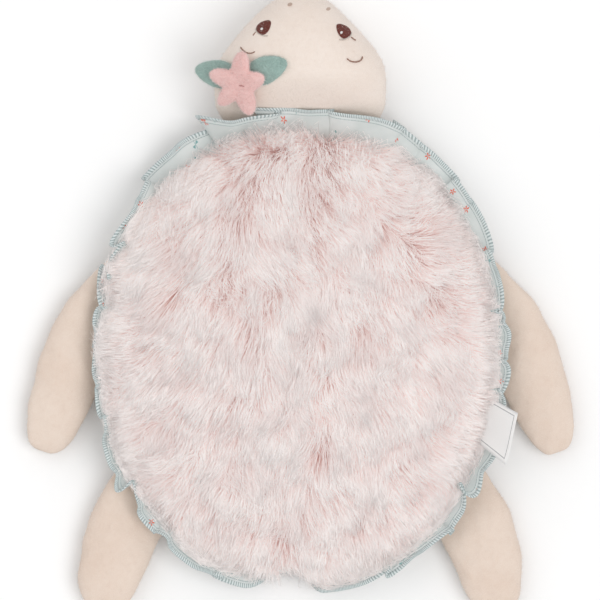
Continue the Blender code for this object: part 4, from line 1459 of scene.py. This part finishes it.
    def build(self, ruffle: Ruffle, pile: bpy.types.Material, backing: bpy.types.Material) -> None:
        """Makes the ground cloth and the hairs, in several pieces."""
        draw = np.random.default_rng(self.seed)
        ground = self.ground()
        normals = ground.normals()
        cloth = ground.made("shell_ground_cloth", backing)
        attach(cloth, BODY)
        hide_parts("shell_fur_panel", "body_filling")
        big_roots, big_paths = self.guides(ground, normals, self.big_locks, draw, self.strays[0])
        small_roots, small_paths = self.guides(ground, normals, self.small_locks, draw, self.strays[1])
        lead = self.closest(small_roots, big_roots)
        shares = np.linspace(0, 1, self.steps + 1)[None, :, None]
        pull = draw.uniform(0.35, 0.8, (self.big_locks, 1, 1))[lead] * shares**1.3
        small_paths = small_paths + (big_paths[lead] - small_paths) * pull
        count = self.hairs
        roots, _ = ground.scattered(count, draw, normals, self.edge - GAP)
        length = self.length * draw.uniform(0.68, 1.1, count)
        swell, curl = draw.uniform(0.45, 1.1, count), draw.normal(0, 0.35, count)
        own = self.walk(roots, self.heading(roots, draw, self.strays[2]), length, swell, curl)
        lock = self.closest(roots, small_roots)
        pull = draw.uniform(0.3, 0.8, (count, 1, 1)) * shares**1.2
        paths = own + (small_paths[lock] - own) * pull
        frizz = draw.normal(0, 0.55 * MM, (count, 3))[:, None] * shares**1.5
        frizz = frizz + draw.normal(0, 0.16 * MM, (count, self.steps + 1, 3)) * shares
        paths = paths + frizz
        away = SEAM.outside(paths[..., 0], paths[..., 1])
        floor = np.where(away > 0, ruffle.crest(paths[..., 0], paths[..., 1]), 0)
        paths[..., 2] -= self.droop * smooth_step(away / (9 * MM))
        paths[..., 2] = np.maximum(paths[..., 2], floor + draw.uniform(0, 2 * MM, (count, 1)) * (floor > 0))
        taper = np.array([0.9, 1.0, 0.72])
        radii = self.radius * draw.uniform(0.7, 1.25, (count, 1)) * taper
        tones = draw.normal(0.5, 0.22, self.small_locks)[lock] + draw.normal(0, 0.12, count)
        rim = smooth_step(1 + SEAM.outside(roots[:, 0], roots[:, 1]) / (22 * MM))
        tones = np.clip(tones + 0.3 * ripples(roots[:, 0], roots[:, 1], 24 * MM, 21) - 0.45 * rim, 0, 1)
        sizes = np.array([[SEAM.half_width, SEAM.half_length, self.rise]])
        normal, _ = self.nearest(roots, sizes, self.power)
        for number, part in enumerate(np.array_split(np.arange(count), self.pieces)):
            hairs = spikes(paths[part], normal[part], radii[part], tones[part])
            made = hairs.made(f"shell_pile_{number + 1}", pile)
            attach(made, BODY)
        log.info("fur: %d hairs in %d pieces", count, self.pieces)


@dataclass
class Belly:
    """The velour underside."""

    power: float = 4.0

    def build(self, velour: bpy.types.Material) -> None:
        """A dish that is flat on the floor and rounds up to the seam, closed on top."""
        turn = np.arange(180) * TURN / 180
        a, b = round_outline(SEAM.power, SEAM.power)(turn)
        deep = SEAM.height + FLOOR_CUT - LIP
        rows = [(share, SEAM.height) for share in (0.5, 0.97, 1.0)]
        for level in np.linspace(0, 1, 30)[:-1]:
            reach, height = crown(level, self.power)
            rows.append((reach, max(SEAM.height - LIP - deep * height, 0)))
        surface = skin_over(np.array([SEAM.ring(a, b, *row) for row in rows]))
        x, y, z = surface.points.T
        free = smooth_step(z / (5 * MM)) * (z < SEAM.height - 0.6 * MM)
        folds = ripples(x, y, 30 * MM, 31) * 0.5 * MM * free
        surface.points += surface.normals() * folds[:, None]
        cover = surface.made("belly_cover", velour)
        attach(cover, BODY)
        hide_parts("belly_panel")


@dataclass
class Label:
    """The woven ribbon loop in the seam, left bare."""

    width: float = 25 * MM
    length: float = 34 * MM
    turn: float = math.radians(-16.5)
    slant: float = math.radians(24)  # from square to the seam, towards the tail
    ply: float = 0.28 * MM
    apart: float = 0.55 * MM  # between the two layers, middle to middle

    def build(self, ruffle: Ruffle, ribbon: bpy.types.Material) -> None:
        """Carries the loop's profile, out, round the fold and back, across the ribbon's width."""
        tilt = ruffle.tilt + math.atan(ruffle.fold_height / ruffle.width)
        start = SEAM.height + COTTON + 2 * GAP
        bend = self.apart / 2
        out = self.length * np.linspace(0, 1, 33)
        upper = np.stack([out, np.full_like(out, self.apart)], 1)
        arc = np.linspace(math.pi / 2, -math.pi / 2, 9)[1:-1]
        fold = np.stack([self.length + bend * np.cos(arc), bend + bend * np.sin(arc)], 1)
        lower = np.stack([out[::-1], np.zeros_like(out)], 1)
        profile = np.concatenate([upper, fold, lower])
        round_fold = np.stack([np.cos(arc), np.sin(arc)], 1)
        straight = np.tile([0, 1.0], (len(out), 1))
        normal = np.concatenate([straight, round_fold, -straight])
        across = np.linspace(-0.5, 0.5, 15)
        step = 0.01
        before, after = (
            np.array([float(v) for v in SEAM.point(np.array(self.turn + k), GAP)]) for k in (-step, step)
        )
        per_length = 2 * step / np.linalg.norm(after - before)
        sides = []
        for side in (0.5, -0.5):
            shifted = profile + normal * self.ply * side
            away, up = shifted[:, :1], shifted[:, 1:]
            wave = 0.55 + np.sin(across * 5.2 + 0.8)
            curl = 1.1 * MM * smooth_step(away / self.length * 1.4 - 0.3) * wave[None]
            turn = self.turn + self.width * across * per_length
            x, y, nx, ny = (v[None] for v in SEAM.frame(turn))
            level = away * math.cos(tilt) - (up + curl) * math.sin(tilt) * 0.4
            z = start + away * math.sin(tilt) + (up + curl) * math.cos(tilt)
            ahead, aside = level * math.cos(self.slant), level * math.sin(self.slant)
            places = x + nx * ahead + ny * aside, y + ny * ahead - nx * aside, z
            sides.append(np.stack(np.broadcast_arrays(*places), -1))
        length = np.concatenate([[0], np.cumsum(np.linalg.norm(np.diff(profile, axis=0), axis=1))])
        flat = np.stack(np.broadcast_arrays(length[:, None], ((across + 0.5) * self.width)[None]), -1)
        surface = cloth_shell(sides[0], sides[1], flat)
        made = surface.made("label_ribbon", ribbon)
        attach(made, BODY)
        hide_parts("label")


@dataclass
class HeadCover:
    """The head's velour cover with its loose pile."""

    fibres: int = 20000
    bend_end: float = 152 * MM

    def line(self) -> tuple[tuple, tuple]:
        """Where the neck's bend starts and ends."""
        low = SEAM.limb_height()
        return (0, HEAD_SHAPE.start() + 2 * MM, low), (0, self.bend_end, low)

    def build(self, velour: bpy.types.Material, fuzz: bpy.types.Material) -> None:
        """Makes the cover and its fibres."""
        surface = HEAD_SHAPE.form().skin(56, 220)
        normals = surface.normals()
        x, y, z = surface.points.T
        away = smooth_step((y - HEAD_SHAPE.start() - 5 * MM) / (20 * MM))
        away = away * smooth_step((z - 1 * MM) / (6 * MM))
        dents = ripples(x, y, 42 * MM, 61) * 0.45 * MM
        surface.points += normals * (dents * away)[:, None]
        normals = surface.normals()
        cover = surface.made("head_cover", velour)
        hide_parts("head_upper_panel", "head_lower_panel", "head_filling")
        draw = np.random.default_rng(62)
        roots, ups = surface.scattered(self.fibres, draw, normals)
        hairs = pile_fibres(roots, ups, *LOOSE_PILE, draw, keep_clear=True)
        loose = hairs.made("head_loose_pile", fuzz)
        for piece in (cover, loose):
            self.bend(piece)

    def bend(self, piece: bpy.types.Object) -> None:
        """Bakes the piece's transform into its mesh."""
        start, end = self.line()
        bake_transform(piece)


@dataclass
class Flower:
    """The padded star flower and its leaves, tacked to the head."""

    head: HeadCover
    place_shares: tuple[float, float] = (-0.72, 0.397)
    radius: float = 17.7 * MM
    thickness: float = 6.4 * MM
    arm_turns: tuple = (15, 84, 159, 225, 291)
    arm_shares: tuple = (0.8, 1.0, 0.96, 0.88, 1.0)
    valley_share: float = 0.52
    pad_power: float = 2.4
    leaf_length: float = 25 * MM
    leaf_width: float = 15 * MM
    leaf_thickness: float = 2.6 * MM
    leaf_start: float = 1.2 * MM
    leaf_point_share: float = 0.22
    leaf_shift: tuple[float, float] = (1.6 * MM, 2.7 * MM)
    leaf_turns: tuple = (("leaf_left", 167), ("leaf_right", 21))
    fibres: int = 7500
    leaf_fibres: int = 3200

    def star(self, turn: Array) -> Pair:
        """The flower's rim: a cosine of the evened turn between valleys and arms."""
        arms = np.radians(self.arm_turns)
        count = len(arms)
        marks = np.concatenate([arms[-1:] - TURN, arms, arms[:1] + TURN])
        spot = arms[0] + (turn - arms[0]) % TURN
        even = np.interp(spot, marks, np.arange(-1, count + 1))
        longest = np.array(self.arm_shares)[np.rint(even).astype(int) % count]
        wave = (1 + np.cos(TURN * even)) / 2
        reach = self.valley_share + (longest - self.valley_share) * wave
        return reach * np.cos(turn), reach * np.sin(turn)

    def leaf_rim(self, turn: Array) -> Pair:
        """The leaf's rim: an oval drawn in to a point at its far end."""
        return np.cos(turn), np.sin(turn) * (1 - self.leaf_point_share * np.maximum(np.cos(turn), 0))

    def pad(self, plan: Callable, rim: Callable, floor: float, thickness: float) -> SewnForm:
        """A small padded form, whose underside lies floor above the head's cloth."""
        half = thickness / 2 - LIP - GAP / 2
        return SewnForm(
            plan=plan,
            outline=rim,
            seam=lambda a, b: HEAD_SHAPE.top(*plan(a, b)) + floor + thickness / 2,
            rise=lambda a, b: np.full_like(a, half),
            drop=lambda a, b: np.full_like(a, half),
            up_power=self.pad_power,
            down_power=self.pad_power,
            crease_share=0.035,
            floor=None,
        )

    def centre(self) -> tuple[float, float]:
        """The flower's middle in plan."""
        return HEAD_SHAPE.place(self.place_shares)

    def build(self, looks: dict[str, bpy.types.Material]) -> None:
        """Makes the leaves, the flower, their loose pile and the two tacks."""
        centre = self.centre()
        for seed, (name, degrees) in enumerate(self.leaf_turns):
            turn = math.radians(degrees)
            middle = turned(self.leaf_start + self.leaf_length / 2, 0, turn)

            def leaf_plan(a: Array, b: Array, turn: float = turn, middle: Pair = middle) -> Pair:
                """The leaf's place over the head."""
                x, y = turned(a * self.leaf_length / 2, b * self.leaf_width / 2, turn)
                base_x = centre[0] + middle[0] + self.leaf_shift[0]
                base_y = centre[1] + middle[1] + self.leaf_shift[1]
                return base_x + x, base_y + y

            form = self.pad(leaf_plan, self.leaf_rim, GAP, self.leaf_thickness)
            self.dress(
                form.skin(12, 90), f"{name}_pad", (name,),
                looks["sage"], looks["sage_fuzz"], self.leaf_fibres, 90 + seed,
            )

        def flower_plan(a: Array, b: Array) -> Pair:
            """The flower's place over the head."""
            return centre[0] + a * self.radius, centre[1] + b * self.radius

        form = self.pad(flower_plan, self.star, self.leaf_thickness + 2 * GAP, self.thickness)
        surface = form.skin(22, 240)
        x, y = surface.points[:, 0] - centre[0], surface.points[:, 1] - centre[1]
        top = surface.normals()[:, 2] > 0
        away = np.hypot(x, y) / self.radius
        sunk = 1.5 * MM * np.exp(-((away / 0.22) ** 2))
        arms = np.radians(self.arm_turns)
        turn = np.arctan2(y, x)
        nearest = np.min([turn_between(turn, float(arm)) for arm in arms], axis=0)
        ridge = 0.7 * MM * np.exp(-((nearest / 0.32) ** 2)) * smooth_step((away - 0.15) / 0.3)
        surface.points[:, 2] += (ridge - sunk - 0.25 * MM) * top
        self.dress(
            surface, "flower_pad", ("flower_front", "flower_back", "flower_filling"),
            looks["pink"], looks["pink_fuzz"], self.fibres, 95,
        )
        self.tacks(looks["rose"])

    def dress(
        self, surface: Surface, name: str, nodes: tuple[str, ...], velour: bpy.types.Material,
        fuzz: bpy.types.Material, fibres: int, seed: int,
    ) -> None:
        """Makes a pad and its loose pile."""
        normals = surface.normals()
        cover = surface.made(name, velour)
        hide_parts(*nodes)
        draw = np.random.default_rng(seed)
        roots, ups = surface.scattered(fibres, draw, normals)
        hairs = pile_fibres(roots, ups, *PAD_PILE, draw, keep_clear=False)
        loose = hairs.made(f"{name}_loose_pile", fuzz)
        for piece in (cover, loose):
            self.head.bend(piece)

    def tacks(self, thread: bpy.types.Material) -> None:
        """Two short stitches that hold the flower."""
        centre = self.centre()
        for name, (sx, sy), degrees in (
            ("flower_stitch_upper", (-0.14, 0.16), 38),
            ("flower_stitch_lower", (0.1, -0.06), -8),
        ):
            run = np.linspace(-1, 1, 15)
            x, y = turned(run * 1.9 * MM, np.zeros(15), math.radians(degrees))
            x, y = x + centre[0] + sx * self.radius, y + centre[1] + sy * self.radius
            z = HEAD_SHAPE.top(x, y) + self.leaf_thickness + self.thickness + 2 * GAP
            z = z - 1.3 * MM - 0.6 * MM * run**4
            path = np.stack([x, y, z], 1)
            way = unit(np.gradient(path, axis=0))
            up = np.tile([0, 0, 1.0], (15, 1))
            sizes = np.full((15, 2), 0.32 * MM) * (1 - 0.5 * run**6)[:, None]
            rope = rope_round(path, unit(np.cross(way, up)), up, sizes, 8, run, False)
            made = rope.made(f"{name}_thread", thread)
            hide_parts(name)
            self.head.bend(made)


class Side(Enum):
    """The face's two sides."""

    LEFT = "left"
    RIGHT = "right"


@dataclass
class Face:
    """The embroidery: eyes, glints, lashes, brows and nostrils, each of laid threads."""

    head: HeadCover
    eye_length: float = 9.4 * MM
    eye_width: float = 6.6 * MM
    satin: float = 0.7 * MM
    glint: float = 1.3 * MM
    thread: float = 0.34 * MM
    stitch: float = 1.7 * MM  # length of one backstitch
    brow_width: float = 0.85 * MM
    lash_width: float = 0.75 * MM
    under_width: float = 0.8 * MM
    under_line: tuple = ((4.4, -0.6), (3.4, -3.0), (0.6, -4.6), (-2.4, -4.6))  # mm from the eye

    def patch(
        self, name: str, node: str, look: bpy.types.Material,
        place: tuple[float, float], size: tuple[float, float], turn: float, lift: float,
        point_share: float = 0.0, thick: float | None = None,
    ) -> None:
        """A satin-stitched oval.

        Its height is a dome with fine ridges, one to a thread, that run across its length, and
        its rim is an oval drawn to a point at the far end by point_share.

        Args:
            name, node: the piece and the CAD node that it stands for.
            look: its finish.
            place: plan point of its middle.
            size: its length and width.
            turn: of its length, from +X.
            lift: how far above the head's cloth it lies.
            point_share: how much it narrows to its far end.
            thick: how thick the stitches lie.
        """
        thick = self.satin if thick is None else thick
        turns = np.arange(64) * TURN / 64
        reach = np.linspace(0.04, 1, 14)[:, None]
        a = np.cos(turns) * reach * (1 + point_share * 0.35 * np.maximum(np.cos(turns), 0) ** 3)
        b = np.sin(turns) * reach * (1 - point_share * np.cos(turns))
        dome = np.sqrt(np.maximum(1 - reach**2.4, 0)) * np.ones_like(a)
        ridge = np.abs(np.sin(math.pi * a * size[0] / 2 / self.thread + 0.6 * b))
        x, y = turned(a * size[0] / 2, b * size[1] / 2, turn)
        x, y = x + place[0], y + place[1]
        base = HEAD_SHAPE.top(x, y) + lift
        high = base + thick * (0.45 + 0.55 * dome) * (0.84 + 0.16 * ridge)
        high[-1] = base[-1] + thick * 0.22
        top = np.stack([x, y, high], -1)
        rim = np.stack([x[-1], y[-1], base[-1] - 0.25 * MM], -1)
        under = np.stack([x[::-6], y[::-6], base[::-6] - 0.25 * MM], -1)
        made = skin_over(np.concatenate([top, rim[None], under[1:]])).made(name, look)
        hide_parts(node)
        self.head.bend(made)

    def stroke(
        self, name: str, node: str | None, look: bpy.types.Material,
        points: Array, width: float,
    ) -> None:
        """A stroke of backstitch: a bead of thread for each stitch along a line of plan points."""
        spots = np.linspace(0, 1, 60)
        given = np.linspace(0, 1, len(points))
        fit = np.polynomial.polynomial.polyfit(given, points, min(3, len(points) - 1))
        x, y = np.polynomial.polynomial.polyval(spots, fit)
        z = HEAD_SHAPE.top(x, y) + 0.3 * MM
        path = np.stack([x, y, z], 1)
        way = unit(np.gradient(path, axis=0))
        side = unit(np.cross(way, [0, 0, 1.0]))
        up = np.cross(side, way)
        length = float(np.linalg.norm(np.diff(path, axis=0), axis=1).sum())
        stitches = max(2, round(length / self.stitch))
        bead = 0.72 + 0.28 * np.abs(np.sin(math.pi * stitches * spots))
        ends = np.sqrt(np.clip(np.minimum(spots, 1 - spots) * 14, 0.05, 1))
        sizes = np.stack([width / 2 * bead * ends, width / 2 * 0.8 * bead * ends], 1)
        made = rope_round(path, side, up, sizes, 8, spots, False).made(name, look)
        if node:
            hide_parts(node)
        self.head.bend(made)

    def build(self, looks: dict[str, bpy.types.Material]) -> None:
        """Embroiders both sides."""
        eyes = {Side.LEFT: ((-0.431, 0.768), 45), Side.RIGHT: ((0.503, 0.744), -46 + 180)}
        nostrils = {Side.LEFT: (-0.125, 0.918), Side.RIGHT: (0.326, 0.889)}
        brows = {
            Side.LEFT: ((-33.0, 54.6), (-30.8, 52.0), (-27.8, 50.9), (-24.8, 52.0)),
            Side.RIGHT: ((25.4, 48.2), (27.6, 46.7), (30.6, 46.0), (33.0, 47.3), (33.9, 49.4)),
        }
        lashes = {
            Side.LEFT: ((-5.9, -4.6), (-4.9, -3.2), (-4.3, -2.6)),
            Side.RIGHT: ((4.2, -3.2), (5.6, -4.4), (6.9, -5.0)),
        }
        for side in Side:
            word = side.value
            shares, degrees = eyes[side]
            eye = HEAD_SHAPE.place(shares)
            self.patch(
                f"eye_{word}_satin", f"eye_{word}", looks["brown"], eye,
                (self.eye_length, self.eye_width), math.radians(degrees), 0.12 * MM, 0.22,
            )
            glint = (eye[0] - 0.12 * self.eye_length, eye[1] - 0.09 * self.eye_length)
            self.patch(
                f"eye_glint_{word}_satin", f"eye_glint_{word}", looks["white"], glint,
                (self.glint * 1.25, self.glint), math.radians(50), 0.12 * MM + self.satin * 0.85,
                0.0, 0.35 * MM,
            )
            self.patch(
                f"nostril_{word}_knot", f"nostril_{word}", looks["beige"],
                HEAD_SHAPE.place(nostrils[side]), (2.7 * MM, 1.9 * MM), math.radians(20), 0.1 * MM,
            )
            start = HEAD_SHAPE.start()
            brow = np.array([(x * MM, start + (y - 0.7) * MM) for x, y in brows[side]])
            lash = np.array([(eye[0] + x * MM, eye[1] + y * MM) for x, y in lashes[side]])
            flip = -1 if side is Side.LEFT else 1
            under = np.array([(eye[0] + flip * x * MM, eye[1] + y * MM) for x, y in self.under_line])
            for stem, node, look, slot, points, width in (
                (f"brow_{word}", f"brow_{word}", "brow", "thread_brown", brow, self.brow_width),
                (f"lash_{word}", f"lash_{word}", "brow", "thread_brown", lash, self.lash_width),
                (f"eye_{word}_under", None, "grey", "thread_white", under, self.under_width),
            ):
                self.stroke(f"{stem}_stitches", node, looks[look], points, width)


@dataclass
class Studio:
    """The floor, the lamps and the camera over the toy.

    The photograph looks straight down. At 0.55 mm a pixel its frame is 330 mm across.
    """

    frame: float = 330 * MM
    centre: tuple[float, float] = (-0.3 * MM, 28.8 * MM)
    distance: float = 12.0
    sensor: float = 36.0
    sky: float = 0.66
    sun: float = 0.95
    fill: float = 0.45

    def build(self) -> None:
        """Sets the whole stage."""
        self.floor()
        self.lamps()
        self.camera()
        scene = bpy.context.scene
        scene.view_settings.view_transform = "Standard"

    def floor(self) -> None:
        """A white paper floor, which keeps the toy's shadow."""
        surface = Surface(
            np.array([[-4, -4, 0], [4, -4, 0], [4, 4, 0], [-4, 4, 0]], float) - [0, 0, 0.2 * MM],
            [np.array([[0, 1, 2, 3]])],
        )
        made = Shader("paper_white")
        tooth = made.noise(made.coordinates(), 2600, 2)
        path = made.add("ShaderNodeLightPath", {}, {}, "Is Camera Ray")
        seen = path.most(path.output("Is Glossy Ray")).most(path.output("Is Transmission Ray"))
        made.set(
            Base_Color=made.mix(seen, paint(0.90, 0.90, 0.90), paint(1.0, 1.0, 1.0)),
            Roughness=0.9 + 0.05 * tooth,
            Specular_IOR_Level=0.1,
        )
        surface.made("floor", made.material)

    def lamps(self) -> None:
        """A white sky, one broad soft lamp from the lower right and a weak one from the left."""
        world = bpy.data.worlds.new("sky")
        world.use_nodes = True
        background = world.node_tree.nodes["Background"]
        background.inputs["Color"].default_value = (1, 1, 1, 1)
        background.inputs["Strength"].default_value = self.sky
        bpy.context.scene.world = world
        for name, strength, spread, tilt, heading in (
            ("key", self.sun, 40, 28, -25),
            ("fill", self.fill, 70, 45, 150),
        ):
            lamp = bpy.data.lights.new(name, "SUN")
            lamp.energy = strength
            lamp.angle = math.radians(spread)
            held = bpy.data.objects.new(name, lamp)
            held.rotation_euler = (0, math.radians(tilt), math.radians(heading))
            bpy.context.scene.collection.objects.link(held)

    def camera(self) -> None:
        """A long lens straight above the middle of the photograph's frame."""
        lens = bpy.data.cameras.new("camera")
        lens.sensor_width = self.sensor
        lens.lens = self.sensor * self.distance / self.frame
        lens.clip_end = 30
        held = bpy.data.objects.new("camera", lens)
        held.location = (*self.centre, self.distance)
        bpy.context.scene.collection.objects.link(held)
        bpy.context.scene.camera = held


def main() -> None:
    """Loads the frame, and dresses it."""
    logging.basicConfig(level=logging.INFO, format="%(name)s: %(message)s")
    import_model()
    terry = {"grain": 1100, "nap": 0.4 * MM}
    velour = VelourFinish("velour_peach", (0.925, 0.865, 0.815), (0.885, 0.805, 0.745)).material()
    fuzz = FuzzFinish("velour_peach_tips", (0.91, 0.85, 0.80), (0.945, 0.905, 0.87)).material()
    # painted light: the head's velour and its tips are a lighter copy of the peach velour on the belly and
    # flippers, because the head catches more light
    lit_head_velour = VelourFinish("velour_peach_lit_head", (0.955, 0.91, 0.875), (0.925, 0.865, 0.82)).material()
    lit_head_fuzz = FuzzFinish("velour_peach_lit_head_tips", (0.94, 0.89, 0.85), (0.965, 0.935, 0.905))
    lit_head_fuzz = lit_head_fuzz.material()
    finishes = {
        "pink": VelourFinish("velour_pink", (0.98, 0.87, 0.855), (0.90, 0.71, 0.69), **terry),
        # painted highlight: the pale tips of the flower's and the leaves' loose pile stand for light caught
        # along their rims
        "pink_fuzz": FuzzFinish("velour_pink_tips", (0.94, 0.78, 0.76), (0.99, 0.93, 0.92)),
        "sage": VelourFinish("velour_sage", (0.69, 0.79, 0.76), (0.51, 0.61, 0.585), **terry),
        "sage_fuzz": FuzzFinish("velour_sage_tips", (0.60, 0.69, 0.66), (0.86, 0.91, 0.89)),
        "rose": ThreadFinish("thread_rose", (0.76, 0.48, 0.46), (0.62, 0.36, 0.35)),
        "brown": ThreadFinish("thread_brown", (0.47, 0.20, 0.14), (0.28, 0.09, 0.06), gloss=0.25),
        "white": ThreadFinish("thread_white", (0.97, 0.96, 0.95), (0.86, 0.85, 0.84)),
        "beige": ThreadFinish("thread_beige", (0.83, 0.74, 0.68), (0.72, 0.61, 0.55), gloss=0.2),
        "brow": ThreadFinish("thread_soft_brown", (0.68, 0.52, 0.45), (0.48, 0.33, 0.28)),
        "grey": ThreadFinish("thread_pale_grey", (0.84, 0.80, 0.765), (0.74, 0.69, 0.65), gloss=0.2),
    }
    looks = {name: finish.material() for name, finish in finishes.items()}
    edge = ThreadFinish(
        "overlock_grey_blue", (0.86, 0.89, 0.89), (0.60, 0.66, 0.66), ply=1.1 * MM, by_map=True
    )
    needle = ThreadFinish(
        "needle_grey", (0.76, 0.80, 0.80), (0.64, 0.69, 0.69), ply=0.9 * MM, by_map=True
    )
    ruffle = Ruffle()
    Belly().build(velour)
    ruffle.build(PrintedCottonFinish().material(), edge.material(), needle.material())
    log.info("belly and ruffle made")
    Fur().build(ruffle, LongPileFinish().material(), BackingFinish().material())
    Label().build(ruffle, RibbonFinish().material())
    log.info("label made")
    head = HeadCover()
    head.build(lit_head_velour, lit_head_fuzz)
    for limb in Limb:
        Flipper(limb).build(velour, fuzz)
        log.info("%s made", limb.value[0])
    Flower(head).build(looks)
    Face(head).build(looks)
    log.info("flower and face made")
    Studio().build()


if __name__ == "__main__":
    main()
